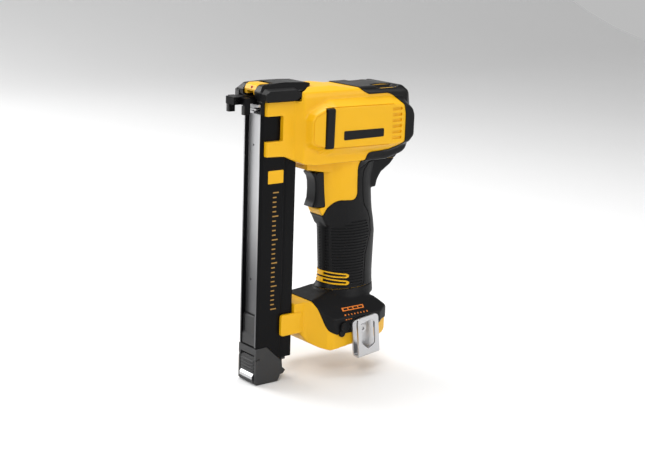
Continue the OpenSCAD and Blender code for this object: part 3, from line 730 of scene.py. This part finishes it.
class STAPLER_OT_overmoulds(bpy.types.Operator):
    """Rear guard, grip rubber and foot cover, which wrap the housing."""

    bl_idname = "stapler.overmoulds"
    bl_label = "Overmoulds"

    def execute(self, context):
        sizes = context.scene.stapler_sizes
        layer = form(sizes.rise / MM, "layer")
        cut(layer, form(-sizes.bite / MM))
        zone = twin(layer, "zone")
        trim(zone, slab("tool", "Y", GUARD_ZONE, -60, 60, corner=2.5))
        self.guard(zone)
        self.grip(zone, sizes)
        bpy.data.objects.remove(zone)
        self.foot(layer)
        return {"FINISHED"}

    def guard(self, zone):
        """Black rear end of the body, with finger rests and two bumps behind."""
        piece = trim(twin(zone, "rear_guard"), slab("tool", "Y", UPPER_ZONE, -60, 60))
        block = trim(form(), box("tool", (86, 150), (-60, 60), (250, 270)))
        trim(block, slab("tool", "Y", GUARD_ZONE, -60, 60))
        unite(piece, block)
        for side in (-1, 1):
            cut(piece, finger_rest(side))
        soften(piece, 0.72 * MM, 4)
        for z in (220, 244):
            bump = box("bump", (138, 143.9), (-9, 9), (z - 3, z + 3), 1.2)
            round_edges(bump, 0.7)
            unite(piece, bump)
        cut(piece, screw_wells())
        finish(piece, "black_plastic", "tool_body", "rear_guard")

    def grip(self, zone, sizes):
        """Ribbed grip with seams, front dashes and room for the two rings."""
        piece = twin(zone, "grip_rubber")
        upper = slab("tool", "Y", UPPER_ZONE, -60, 60)
        cut(piece, upper)
        low = slab("tool", "Y", [(30, 40), (130, 40), (130, 76.5), (30, 76.5)], -60, 60)
        cut(piece, low)
        soften(piece, 0.72 * MM, 3)
        inside = form((sizes.rise - sizes.groove) / MM)
        seam = slab("seam", "Y", ribbon(SPINE_SEAM, 1.0), -60, 60)
        cut(piece, cut(seam, inside, keep=True))
        cut(piece, cut(self.ribs(sizes), inside))
        cut(piece, screw_wells())
        for band in ring_bands(0.25, solid=True):
            cut(piece, band)
        finish(piece, "soft_rubber", "tool_body", "grip_rubber", angle=40)

    def ribs(self, sizes):
        """Thin flat blades, one for each groove of the grip."""
        pitch = sizes.rib_pitch / MM
        low, high = 78.6, 142
        count = int((high - low) / pitch)
        rows = []
        dashes = []
        for i in range(count):
            z = low + i * pitch
            rows.append(box("row", (50, 110), (-40, 40), (z, z + 0.42 * pitch)))
            for y in (-7.4, 0, 7.4):
                dashes.append(box("dash", (40, 70), (y - 1.5, y + 1.5), (z, z + 0.42 * pitch)))
        rows = merged("rows", rows)
        trim(rows, slab("tool", "Y", RIB_PANEL, -60, 60))
        front = box("front", (40, 70), (-10.6, 10.6), (50, 160))
        trim(rows, cut(box("tool", (40, 120), (-45, 45), (60, 150)), front))
        dashes = trim(merged("dashes", dashes), box("tool", (40, 80), (-12, 12), (94, 133.5)))
        return merged("ribs", [rows, dashes])

    def foot(self, layer):
        """Black cover over the top of the battery foot."""
        piece = trim(layer, slab("tool", "Y", FOOT_ZONE, -60, 60, corner=1.6))
        grip_space = slab("tool", "Y", [(30, 76.5), (130, 76.5), (130, 300), (30, 300)], -60, 60)
        cut(piece, grip_space)
        soften(piece, 0.75 * MM, 3)
        cut(piece, slide_space(), screw_wells())
        for side in (-1, 1):
            cut(piece, rod("tool", "Y", HOOK_AT, 3.3, side * 20, side * 60))
        for x, z, radius, out in ((61, 47.4, 4.6, 2.6), (59, 41.8, 3.4, 1.6)):
            knob = rod("knob", "Y", (x, z), radius, 3 - FOOT_Y, -FOOT_Y - out)
            unite(piece, round_edges(knob, 0.9))
        finish(piece, "soft_rubber", "tool_body", "foot_cover", angle=40)


def ring_bands(rise, solid=False):
    """The two coloured rings round the grip's lower end, each with a slot."""
    bands = []
    for z in (90.6, 84.2):
        outer = [(50, z + 4.2), (66, z + 1.3), (78, z - 0.4), (80.4, z - 2.2), (78, z - 4.4),
                 (66, z - 3.4), (50, z - 0.4)]
        band = slab("grip_ring", "Y", outer, -40, 40, corner=1.2)
        if solid:
            trim(band, cut(form(4), form(-0.2)))
        else:
            trim(band, cut(form(1.2 + rise), form(-0.3)))
        slot = [(50, z + 2.9), (66, z + 0.1), (76.8, z - 1.5), (77.6, z - 2.3), (76.8, z - 3.1),
                (66, z - 2.1), (50, z + 0.7)]
        for side in (-1, 1):
            cut(band, slab("slot", "Y", slot, side * 4, side * 60, corner=0.3))
        bands.append(band)
    return bands


class STAPLER_OT_grip_rings(bpy.types.Operator):
    """Two coloured rings set in the grip."""

    bl_idname = "stapler.grip_rings"
    bl_label = "Grip rings"

    def execute(self, context):
        rings = merged("grip_inserts", ring_bands(0.3))
        finish(rings, "yellow_plastic", "tool_body", "grip_inserts", angle=40)
        return {"FINISHED"}


class STAPLER_OT_housing(bpy.types.Operator):
    """Both housing halves, hollow, parted on the middle plane."""

    bl_idname = "stapler.housing"
    bl_label = "Housing halves"

    def execute(self, context):
        sizes = context.scene.stapler_sizes
        shell = form(name="shell")
        cut(shell, self.cavity(sizes))
        unite(shell, *self.clip())
        for tool in self.openings(sizes):
            cut(shell, tool)
        for name in ("rear_guard", "grip_rubber", "foot_cover"):
            cut(shell, bpy.data.objects[name], keep=True)
        cut(shell, screw_wells())
        for side, name in ((-1, "housing_left"), (1, "housing_right")):
            half = twin(shell, name)
            trim(half, box("tool", (-60, 200), (0.09 * side, 80 * side), (-10, 300)))
            finish(half, "yellow_plastic", "tool_body", name, angle=38)
        bpy.data.objects.remove(shell)
        return {"FINISHED"}

    def cavity(self, sizes):
        """The hollow inside, with the screw bosses left standing."""
        hollow = form(-sizes.wall / MM, "hollow")
        soften(hollow, 2.2 * MM, 2)
        keep_in = box("tool", (MAG_X + 3, 200), (-60, 60), (44, 262))
        trim(hollow, keep_in)
        cut(hollow, merged("bosses", [rod("boss", "Y", (x, z), 3.6, -60, 60) for x, z, y in SCREWS]))
        return hollow

    def clip(self):
        """The bracket that holds the magazine to the foot."""
        outline = [(5, 42.4), (27.6, 42.4), (27.6, 62), (5, 62)]
        pieces = []
        for side in (-1, 1):
            cheek = slab("cheek", "Y", outline, side * (MAG_Y + 0.1), side * (MAG_Y + 3.6), corner=2.2)
            round_edges(cheek, 0.8)
            pieces.append(cheek)
        bridge = box("bridge", (MAG_X + 0.4, 31), (-16, 16), (43, 70), 2)
        pieces.append(round_edges(bridge, 0.8))
        return pieces

    def hood_seat(self):
        """The space behind the nose that the hood's rounded rear edge lies in."""
        outline = [(-30, 252.6), (18, 252.6), (24, 258), (45, 258), (45, 290), (-30, 290)]
        seat = slab("seat", "Y", outline, -30, 30)
        return trim(seat, slab("tool", "Z", HOOD_PLAN, 240, 300))

    def openings(self, sizes):
        """Everything that is cut out of the housing."""
        half = MAG_Y + 0.1
        tools = [
            box("gap", (-40, 1), (-60, 60), ARM_GAP, 1.6),
            box("channel", (-40, MAG_X + 0.5), (-half, half), (-5, 257)),
            box("hood", (-40, 14), (-30, 30), (252.6, 290)),
            self.hood_seat(),
            box("pocket", (36, 68), (-8.6, 8.6), (152.6, 186)),
            slide_space(),
        ]
        for side in (-1, 1):
            tools.append(finger_rest(side))
            depth = (side * (BODY_Y - 2.2), side * 60)
            shallow = (side * (BODY_Y - 1.3), side * 60)
            tools.append(box("bar_slot", (35.2, 45.0), depth, (210.8, 247.2), 1.5))
            for i in range(sizes.vents):
                z = 214.4 + i * 5.2
                outline = [
                    (110.6, z + 0.5), (111.6, z), (121.4, z), (122, z + 1), (122, z + 2),
                    (121.4, z + 2.6), (110.6, z + 2.6),
                ]
                tools.append(slab("vent", "Y", outline, *shallow))
            tools.append(rod("insert", "Y", HOOK_AT, 3.25, side * 20, side * 60))
            for path in (BULGE_FACE[3:6], BULGE_FACE[12:14], FACE_HEX):
                crease = slab("crease", "Y", ribbon(path, 0.9), side * (BODY_Y - 12), side * 60)
                tools.append(cut(crease, form(-0.45)))
        return tools


class STAPLER_OT_body_trim(bpy.types.Operator):
    """Rubbing bars and plain plates on the sides of the body."""

    bl_idname = "stapler.body_trim"
    bl_label = "Body trim"

    def execute(self, context):
        bars = []
        for side in (-1, 1):
            outline = [tilted(p, (40, 229), math.radians(-1.0)) for p in
                       ((35.7, 211.4), (44.5, 211.4), (44.5, 246.6), (35.7, 246.6))]
            bar = slab("bar", "Y", outline, side * (BODY_Y - 2), side * (BODY_Y + 1.7), corner=1.6)
            bars.append(round_edges(bar, 1.0, segments=4))
        finish(merged("side_rub_bars", bars), "black_plastic", "tool_body", "side_rub_bars")
        plates = []
        for side in (-1, 1):
            outline = [(55.6, 217.6), (101, 218), (101, 225.4), (55.6, 225.8)]
            plate = slab("plate", "Y", outline, side * (BODY_Y - 0.6), side * (BODY_Y + 0.35), corner=1.2)
            plates.append(round_edges(plate, 0.2, 35, 2))
        finish(merged("side_plates", plates), "black_plastic", "tool_body")
        return {"FINISHED"}


class STAPLER_OT_hood(bpy.types.Operator):
    """Black hood over the nose, with a pod on each side."""

    bl_idname = "stapler.hood"
    bl_label = "Front hood"

    def execute(self, context):
        top = [(-22, 253), (17.4, 253), (24, 258.4), (40, 258.4), (40, 263.8), (30, 267.4), (6, 268.4),
               (-19, 267.2), (-24, 262)]
        hood = slab("front_hood", "Y", top, -17.4, 17.4, corner=1.4)
        section = [(-17.4, 250), (17.4, 250), (17.4, 262), (13, 268.6), (-13, 268.6), (-17.4, 262)]
        trim(hood, slab("tool", "X", section, -30, 50, corner=1), slab("tool", "Z", HOOD_PLAN, 240, 300))
        for side in (-1, 1):
            root = [(-24, 254), (-24, 261), (-18, 264.6), (13, 264.6), (21, 260.4), (21, 257), (14, 252.8),
                    (-20, 252.8)]
            face = [(-21.6, 255.4), (-21.6, 260.4), (-17, 263), (10, 263), (15.6, 260), (15.6, 257.6),
                    (11, 254.4), (-19.4, 254.4)]
            unite(hood, taper("pod", "Y", root, face, side * 14, side * 23))
        half = MAG_Y + 0.2
        tools = [
            box("block", (-40, MAG_X + 0.6), (-half, half), (0, 255.2)),
            box("trip", (-40, 40), (-6.8, 6.8), (0, 258.2)),
            box("notch", (-40, -3.6), (-8.6, 8.6), (257.6, 290)),
            box("fork", (-40, -21.8), (-13, 13), (0, 257.7)),
            slab("groove", "X", [(10.8, 265.2), (12.2, 264.2), (13.6, 269), (11.4, 269)], -17, 34),
            slab("groove", "X", [(-10.8, 265.2), (-12.2, 264.2), (-13.6, 269), (-11.4, 269)], -17, 34),
            rod("pin", "Y", (-9, 263), 1.5, -13, 13),
        ]
        for tool in tools:
            cut(hood, tool)
        round_edges(hood, 0.7, 22, 3)
        finish(hood, "black_plastic", "tool_body", "front_hood", angle=20)
        return {"FINISHED"}


class STAPLER_OT_trigger(bpy.types.Operator):
    """Trigger with a slightly hollowed, rounded front."""

    bl_idname = "stapler.trigger"
    bl_label = "Trigger"

    def execute(self, context):
        outline = [(43.6, 153.8), (47, 153.2), (60, 153.4), (60, 185), (47, 185), (42, 185.6),
                   (42.4, 184.2), (45, 181), (46.4, 176), (46.8, 169), (46.4, 161), (44.8, 156.6)]
        piece = slab("trigger", "Y", outline, -8.4, 8.4)
        edit(piece)
        pick(piece, lambda e: abs(e.verts[0].co.y - e.verts[1].co.y) < 1e-5
             and max(v.co.x for v in e.verts) < 47.2 * MM, "edges")
        bpy.ops.mesh.bevel(offset=2.8 * MM, segments=4, affect="EDGES")
        face_out(piece)
        round_edges(piece, 0.5, 50, 2)
        unite(piece, rod("stem", "X", (0, 172), 1.5, 59, 74))
        finish(piece, "black_plastic", "trigger", "trigger")
        return {"FINISHED"}


class STAPLER_OT_magazine(bpy.types.Operator):
    """Magazine channel with its bright lips and coloured field."""

    bl_idname = "stapler.magazine"
    bl_label = "Magazine channel"

    def execute(self, context):
        half = [(-MAG_X, -LIP_Y - 0.1), (-MAG_X + 2.8, -MAG_Y), (6.2, -MAG_Y), (6.8, -MAG_Y + 0.6),
                (8.0, -MAG_Y + 0.6), (8.6, -MAG_Y), (MAG_X - 1, -MAG_Y), (MAG_X, -MAG_Y + 1)]
        outline = half + [(x, -y) for x, y in half[::-1]]
        piece = slab("magazine_channel", "Z", outline, 18, MAG_TOP)
        wall = 1.6
        inner = MAG_Y - wall
        round_edges(piece, 0.35, 30, 2)
        tools = [
            box("bore", (PANEL_X - 0.4, MAG_X - 2), (-inner, inner), (-10, 300)),
            box("mouth", (-MAG_X - 1, PANEL_X + 0.1), (-LIP_Y, LIP_Y), (-10, 300)),
            slab("seat", "Y", [(-30, 0), (30, 0), (30, 22), (9, 22), (8.4, 19.4), (-7.8, 34.4), (-30, 34)],
                 -60, 60),
            box("slot", (9.6, 18.8), (-20, -MAG_Y + 0.5), (64, 236)),
            box("slot", (9.6, 18.8), (MAG_Y - 0.5, 20), (64, 236)),
        ]
        for tool in tools:
            cut(piece, tool)
        finish(piece, "black_coated_steel", "tool_body", "magazine_channel")
        lips = []
        for side in (-1, 1):
            lip = box("lip", (-MAG_X - 0.25, -MAG_X + 0.3), (side * (LIP_Y + 0.02), side * (LIP_Y + 1.5)),
                      (34.6, MAG_TOP))
            lips.append(round_edges(lip, 0.12, 40, 2))
        # The lips take the panel steel with its painted shade, darker towards the bottom.
        finish(merged("magazine_lips", lips), "panel_steel", "tool_body", slot="bright_steel")
        self.label()
        return {"FINISHED"}

    def label(self):
        """A plain coloured field and a scale of short ticks beside it."""
        ticks = []
        for i in range(26):
            z = 68 + i * 4.2
            wide = 6.2 if i % 5 == 0 else 3.8
            for side in (-1, 1):
                span = (side * (MAG_Y - 0.2), side * (MAG_Y + 0.08))
                ticks.append(box("tick", (-5, -5 + wide), span, (z, z + 1.1)))
        finish(merged("magazine_scale", ticks), "gold_print", "tool_body", slot="yellow_plastic")
        fields = []
        for side in (-1, 1):
            span = (side * (MAG_Y - 0.2), side * (MAG_Y + 0.08))
            outline = [(-10.6, 181.6), (5.6, 181.6), (5.6, 193), (-10.6, 193)]
            fields.append(slab("field", "Y", outline, *span, 0.8))
        finish(merged("magazine_field", fields), "yellow_plastic", "tool_body")


class STAPLER_OT_rail(bpy.types.Operator):
    """Sliding rail, its foot, end cap and squeeze latch."""

    bl_idname = "stapler.rail"
    bl_label = "Sliding rail"

    def execute(self, context):
        self.rail()
        self.foot()
        self.cap()
        self.latch()
        return {"FINISHED"}

    def rail(self):
        """Folded steel rail that the staples stand in."""
        top = MAG_TOP - 0.5
        piece = box("magazine_rail", (PANEL_X, 14), (-RAIL_Y, RAIL_Y), (RAIL_LOW, top))
        edit(piece)
        pick(piece, lambda e: abs(e.verts[0].co.z - e.verts[1].co.z) > 0.05
             and max(v.co.x for v in e.verts) < 0, "edges")
        bpy.ops.mesh.bevel(offset=0.8 * MM, segments=3, affect="EDGES")
        face_out(piece)
        cut(piece, box("inside", (PANEL_X + 1.1, 15), (1.1 - RAIL_Y, RAIL_Y - 1.1), (60, 300)))
        for z in (94, 214):
            cut(piece, rod("hole", "X", (3, z), 1.0, PANEL_X - 1, PANEL_X + 2, 20))
        # The rail takes the panel steel with its painted shade, darker towards the bottom.
        finish(piece, "panel_steel", "magazine_slide", "magazine_rail", slot="bright_steel")

    def foot(self):
        """Grey block under the rail, with a groove along each side."""
        piece = box("rail_foot", (PANEL_X, 14), (-RAIL_Y, RAIL_Y), (36, RAIL_LOW))
        raised = [(PANEL_X - 3.6, 35), (PANEL_X - 3.6, 43), (PANEL_X - 2.2, 46), (PANEL_X - 2.2, 61),
                  (PANEL_X - 1.4, 62), (PANEL_X + 1, 62), (PANEL_X + 1, 35)]
        unite(piece, slab("raised", "Y", raised, 0.4 - LIP_Y, LIP_Y - 0.4))
        for side in (-1, 1):
            middle = side * 8.2
            span = (middle - 0.6, middle + 0.6)
            cut(piece, box("groove", (PANEL_X - 5, PANEL_X - 0.9), span, (46, 64)))
        cut(piece, rod("bore", "Z", (0, 0), 1.8, 30, 70))
        round_edges(piece, 0.3, 35, 2)
        finish(piece, "grey_plastic", "magazine_slide", "rail_foot")

    def cap(self):
        """End cap with a raised chevron top that closes the magazine."""
        outline = [
            (-MAG_X, 27.4), (-17.6, 27.4), (-17.6, 0), (5, 0), (7.4, 5), (8, 19), (-8, 34),
            (-MAG_X, 33.6),
        ]
        piece = slab("magazine_end_cap", "Y", outline, -MAG_Y, MAG_Y)
        for side in (-1, 1):
            cheek = [(-MAG_X, 1.5), (-MAG_X + 1.5, 0), (-12, 0), (-12, 28), (-MAG_X, 28)]
            unite(piece, slab("cheek", "Y", cheek, side * 10.6, side * MAG_Y))
        unite(piece, box("tongue", (PANEL_X, 14), (-RAIL_Y, RAIL_Y), (19, 36)))
        outline = [(6, 2.4), (15, 3.4), (18, 6.6), (14.4, 9.6), (13.6, 18), (6, 19)]
        tab = slab("tab", "Y", outline, -7.6, 7.6)
        unite(piece, round_edges(tab, 0.6))
        cut(piece, box("latch_room", (-MAG_X - 1, -11.6), (-10.4, 10.4), (-1, 26.6)))
        cut(piece, rod("pin", "Y", (-14.6, 20), 1.2, -12, 12))
        for side in (-1, 1):
            nick = slab("nick", "Y", [(-20, 22.4), (-15.6, 23.2), (-15, 24.4), (-20, 24.4)],
                        side * (MAG_Y - 0.7), side * 20)
            cut(piece, nick)
        round_edges(piece, 0.45, 30, 2)
        finish(piece, "grey_plastic", "magazine_slide", "magazine_end_cap", slot="black_plastic")

    def latch(self):
        """Ribbed squeeze lever in the front of the end cap."""
        outline = [(-20.6, 4.6), (-18.6, 0.6), (-15.8, 0.4), (-15.6, 16), (-12.8, 18.6), (-12.8, 21.4),
                   (-15, 24.8), (-17.8, 25.4), (-19.0, 23), (-19.0, 9.8), (-20.6, 7.6)]
        piece = slab("magazine_latch", "Y", outline, -9.9, 9.9)
        for i in range(4):
            z = 11 + i * 3.1
            ridge = [(-18.6, z), (-19.9, z + 0.4), (-19.9, z + 1.1), (-18.6, z + 1.8)]
            unite(piece, slab("rib", "Y", ridge, -9.2, 9.2))
        cut(piece, rod("bore", "Y", (-14.6, 20), 1.24, -11, 11))
        round_edges(piece, 0.3, 30, 2)
        finish(piece, "grey_plastic", "magazine_latch", "magazine_latch", slot="black_plastic")
        # Painted highlight: a thin bright steel strip along the latch's lower flare stands in for the
        # light that catches that slope.
        bright = slab("latch_edge", "Y", [(-20.75, 4.9), (-20.75, 7.6), (-19.15, 9.9), (-18.9, 9.6),
                                          (-20.3, 7.4), (-20.3, 5.0)], -9.5, 9.5)
        finish(bright, "bright_steel", "magazine_latch")


class STAPLER_OT_nose(bpy.types.Operator):
    """Nose block, nose plate, contact trip and release lever."""

    bl_idname = "stapler.nose"
    bl_label = "Nose"

    def execute(self, context):
        self.block()
        self.plate()
        self.trip()
        self.lever()
        return {"FINISHED"}

    def block(self):
        """Black block on top of the magazine that guides the driver."""
        outline = [(-MAG_X, -LIP_Y), (-MAG_X + 2.8, -MAG_Y), (MAG_X, -MAG_Y), (MAG_X, MAG_Y),
                   (-MAG_X + 2.8, MAG_Y), (-MAG_X, LIP_Y)]
        piece = slab("nose_block", "Z", outline, MAG_TOP, 255)
        for tool in (box("a", (-13, 13), (-9.6, 9.6), (200, 246)),
                     box("b", (-30, 30), (-9.6, 9.6), (244.8, 247.2)),
                     box("c", (-30, 30), (-6.4, 6.4), (250.7, 290)),
                     box("d", (-30, -MAG_X + 1.2), (-11.4, -0.4), (200, 251))):
            cut(piece, tool)
        round_edges(piece, 0.35, 35, 2)
        finish(piece, "black_plastic", "tool_body", "nose_block")

    def plate(self):
        """Bright stepped plate in front of the block."""
        front = -MAG_X - 2
        outline = [(-11, 248.4), (-11, 250.6), (2.2, 250.6), (2.2, 242.6), (-4.6, 242.6), (-4.6, 247.6)]
        piece = slab("nose_plate", "X", outline, front, -MAG_X + 1.1)
        cut(piece, box("mouth", (-30, 0), (-9.6, 9.6), (244.8, 247.2)))
        other = box("far", (front, -MAG_X + 1.1), (4, 11), (242.6, 250.4))
        cut(other, box("mouth", (-30, 0), (-9.6, 9.6), (244.8, 247.2)))
        round_edges(piece, 0.3, 35, 2)
        round_edges(other, 0.3, 35, 2)
        finish(merged("nose_plate", [piece, other]), "bright_steel", "tool_body", "nose_plate")

    def trip(self):
        """Contact trip: an arm with a fork that straddles the cable."""
        arm = [(-42.5, 251.2), (2, 251.2), (2, 257.2), (-26, 257.2), (-29, 258), (-42.5, 257.6)]
        piece = slab("contact_trip", "Y", arm, -6, 6)
        unite(piece, box("cross", (-36, -30.2), (-12.6, 12.6), (251.2, 257.2)))
        for side in (-1, 1):
            unite(piece, box("prong", (-36, -30.2), (side * 10.1, side * 12.6), (243, 254)))
        cut(piece, box("window", (-41.4, -37.4), (-7, 7), (252.6, 256)))
        round_edges(piece, 0.45, 35, 2)
        finish(piece, "black_coated_steel", "contact_trip", "contact_trip")
        pads = []
        for side in (-1, 1):
            pad = box("pad", (-37.4, -36.05), (side * 9.9, side * 12.8), (243.2, 251.0))
            pads.append(round_edges(pad, 0.3, 35, 2))
        finish(merged("trip_pads", pads), "grey_plastic", "contact_trip")

    def lever(self):
        """Yellow release lever with a notch in its lip."""
        outline = [(-21.6, 258.8), (-9, 258.6), (-5, 260.6), (-4.4, 263), (-5.4, 266), (-8.4, 267.8),
                   (-17.4, 267.8), (-20.4, 266.4), (-22.2, 263)]
        piece = slab("release_lever", "Y", outline, -8, 8)
        cut(piece, slab("notch", "Y", [(-25, 257), (-16, 257), (-16, 260.8), (-25, 262)], -4.6, 4.6))
        cut(piece, rod("bore", "Y", (-9, 263), 1.54, -9, 9))
        cut(piece, rod("dimple", "X", (-1.6, 264.6), 1.3, -25, -20.6, 16))
        round_edges(piece, 0.6, 35, 3)
        finish(piece, "yellow_plastic", "release_lever", "release_lever")
        dot = rod("lever_dot", "X", (-1.6, 264.6), 1.1, -21.6, -20.4, 16)
        finish(dot, "red_plastic", "release_lever")


class STAPLER_OT_hook(bpy.types.Operator):
    """Folded steel belt hook with a slotted outer leaf."""

    bl_idname = "stapler.hook"
    bl_label = "Belt hook"

    def execute(self, context):
        inner, outer, thick, radius = -FOOT_Y - 0.2, -45.8, 1.8, 2.6
        low = -25
        loop = [(inner, 9), (inner, low + radius)]
        loop += [(inner - radius * (1 - math.cos(t)), low + radius - radius * math.sin(t))
                 for t in (math.pi * i / 10 for i in range(1, 5))]
        loop += [(inner - radius, low), (outer + radius, low)]
        loop += [(outer + radius - radius * math.sin(t), low + radius * (1 - math.cos(t)))
                 for t in (math.pi * i / 10 for i in range(1, 5))]
        loop += [(outer, low + radius), (outer, 13)]
        inside = [(outer + thick, 13), (outer + thick, low + radius), (outer + radius, low + thick),
                  (inner - radius, low + thick), (inner - thick, low + radius), (inner - thick, 9)]
        section = [(y, HOOK_AT[1] + z) for y, z in loop + inside]
        piece = slab("belt_hook", "X", section, HOOK_AT[0] - 10, HOOK_AT[0] + 14)
        x0, z0 = HOOK_AT
        window = [(x0 - 6.2, z0 - 11.6), (x0 + 1, z0 - 18.4), (x0 + 9.2, z0 - 15), (x0 + 9.8, z0 + 5.4),
                  (x0 + 6, z0 + 9), (x0 - 6, z0 + 7.8)]
        cut(piece, slab("window", "Y", window, -60, -42, corner=1.4))
        edit(piece)
        pick(piece, lambda e: abs(e.verts[0].co.y - e.verts[1].co.y) > MM
             and min(v.co.z for v in e.verts) > (z0 + 8.5) * MM, "edges")
        bpy.ops.mesh.bevel(offset=4 * MM, segments=5, affect="EDGES")
        bpy.ops.mesh.select_all(action="SELECT")
        turn = Matrix.Rotation(-FOOT_TILT, 3, "Y")
        leave()
        spot = Vector((x0, 0, z0)) * MM
        piece.data.transform(Matrix.Translation(spot) @ turn.to_4x4() @ Matrix.Translation(-spot))
        cut(piece, rod("hole", "Y", HOOK_AT, 2.2, -60, 0))
        round_edges(piece, 0.3, 40, 2)
        finish(piece, "bright_steel", "tool_body", "belt_hook")
        return {"FINISHED"}


class STAPLER_OT_foot_marks(bpy.types.Operator):
    """Rows of coloured slots printed on the foot cover."""

    bl_idname = "stapler.foot_marks"
    bl_label = "Foot marks"

    def execute(self, context):
        marks = []
        for row, (low, high, start, end, cells) in enumerate(
                ((60.4, 63.0, 63, 88, 4), (57.0, 58.0, 63, 90, 7), (53.4, 54.2, 63, 70, 2))):
            outline = [(start, low), (end, low), (end, high), (start, high)]
            band = slab("row", "Y", outline, -60, 60, corner=0.3)
            step = (end - start - 2) / cells
            for i in range(cells):
                x = start + 1 + i * step
                edge = 0.6 if row == 0 else -0.2
                window = box("cell", (x + 0.7, x + step - 0.4), (-60, 60), (low + edge, high - edge))
                cut(band, window)
            marks.append(band)
        piece = merged("foot_marks", marks)
        trim(piece, cut(form(1.02), form(0.4)))
        finish(piece, "mark", "tool_body", slot="yellow_plastic")
        return {"FINISHED"}


class STAPLER_OT_stage(bpy.types.Operator):
    """Floor, soft lights and camera."""

    bl_idname = "stapler.stage"
    bl_label = "Stage"

    def execute(self, context):
        self.floor()
        self.lights(context.scene)
        self.camera(context.scene)
        return {"FINISHED"}

    def floor(self):
        """A pale floor that curves up behind."""
        bpy.ops.object.select_all(action="DESELECT")
        bpy.ops.mesh.primitive_plane_add(size=6, location=(0, 0, -0.0004))
        floor = bpy.context.object
        floor.name = "floor"
        edit(floor)
        pick(floor, lambda e: min(v.co.y for v in e.verts) > 2.9, "edges")
        bpy.ops.mesh.extrude_region_move(TRANSFORM_OT_translate={"value": (0, 0, 3)})
        pick(floor, lambda e: min(v.co.y for v in e.verts) > 2.9
             and max(v.co.z for v in e.verts) < 0.1, "edges")
        bpy.ops.mesh.bevel(offset=1.2, segments=16, affect="EDGES")
        leave()
        bpy.ops.object.shade_smooth()
        paint = Paint("floor", Roughness=0.9)
        paint.feed(Base_Color=paint.blend(paint.noise(300), (0.86, 0.86, 0.86), (0.88, 0.88, 0.88)))
        floor.data.materials.append(paint.material)

    def lights(self, scene):
        """A pale surround and three soft panels."""
        world = bpy.data.worlds.new("studio")
        world.use_nodes = True
        world.node_tree.nodes["Background"].inputs["Color"].default_value = (1, 1, 1, 1)
        world.node_tree.nodes["Background"].inputs["Strength"].default_value = 0.5
        scene.world = world
        scene.view_settings.view_transform = "Standard"
        aim = Vector((0.05, 0, 0.14))
        panels = (
            ("key", (-0.9, -0.9, 1.1), 0.5, 8.5),
            ("side", (0.8, -1.2, 0.6), 0.5, 4),
            ("top", (0.1, 0.2, 1.3), 0.9, 11),
            ("back", (-0.6, 1.8, 1.0), 1.2, 26),
        )
        for name, place, size, power in panels:
            light = bpy.data.lights.new(name, "AREA")
            light.size = size
            light.energy = power
            lamp = bpy.data.objects.new(name, light)
            lamp.location = place
            lamp.rotation_euler = (aim - Vector(place)).to_track_quat("-Z", "Y").to_euler()
            scene.collection.objects.link(lamp)

    def camera(self, scene):
        """A long lens at the tool's front left."""
        heading, dip, roll = math.radians(38.22), math.radians(13.59), math.radians(1.93)
        along_floor = Vector((math.sin(heading), math.cos(heading), 0))
        forward = along_floor * math.cos(dip) - Vector((0, 0, math.sin(dip)))
        level = Vector((math.cos(heading), -math.sin(heading), 0))
        upright = level.cross(forward)
        right = level * math.cos(roll) + upright * math.sin(roll)
        up = upright * math.cos(roll) - level * math.sin(roll)
        lens = bpy.data.cameras.new("view")
        lens.lens = 74.6
        lens.sensor_width = 36
        lens.clip_start = 0.01
        view = bpy.data.objects.new("view", lens)
        view.matrix_world = Matrix((
            (right.x, up.x, -forward.x, -0.6689), (right.y, up.y, -forward.y, -0.9272),
            (right.z, up.z, -forward.z, 0.4128), (0, 0, 0, 1),
        ))
        scene.collection.objects.link(view)
        scene.camera = view


class STAPLER_PT_panel(bpy.types.Panel):
    """Lists the settings and the steps of the build."""

    bl_idname = "STAPLER_PT_panel"
    bl_label = "Cable stapler"
    bl_space_type = "VIEW_3D"
    bl_region_type = "UI"
    bl_category = "Stapler"

    def draw(self, context):
        for group in (context.scene.stapler_sizes, context.scene.stapler_colours):
            for name in group.__annotations__:
                self.layout.prop(group, name)
        for step in STEPS:
            self.layout.operator(step.bl_idname)


STEPS = (
    STAPLER_OT_finishes, STAPLER_OT_overmoulds, STAPLER_OT_grip_rings, STAPLER_OT_housing,
    STAPLER_OT_body_trim, STAPLER_OT_hood, STAPLER_OT_trigger, STAPLER_OT_magazine, STAPLER_OT_rail,
    STAPLER_OT_nose, STAPLER_OT_hook, STAPLER_OT_foot_marks, STAPLER_OT_stage,
)
CLASSES = (StaplerSizes, StaplerColours, *STEPS, STAPLER_PT_panel)


def register():
    """Adds the classes and the scene's settings."""
    for item in CLASSES:
        bpy.utils.register_class(item)
    bpy.types.Scene.stapler_sizes = PointerProperty(type=StaplerSizes)
    bpy.types.Scene.stapler_colours = PointerProperty(type=StaplerColours)


def unregister():
    """Takes them away again."""
    del bpy.types.Scene.stapler_colours
    del bpy.types.Scene.stapler_sizes
    for item in reversed(CLASSES):
        bpy.utils.unregister_class(item)


def clear_start():
    """Deletes what a new file holds besides the frame."""
    bpy.ops.object.select_all(action="DESELECT")
    for thing in list(bpy.context.scene.objects):
        thing.select_set(thing.name in ("Cube", "Light", "Camera"))
    bpy.ops.object.delete()


def main():
    """Builds every piece in order."""
    clear_start()
    register()
    for step in STEPS:
        group, name = step.bl_idname.split(".")
        getattr(getattr(bpy.ops, group), name)()
    bpy.data.objects.remove(bpy.data.objects["form"])


if __name__ == "__main__":
    main()
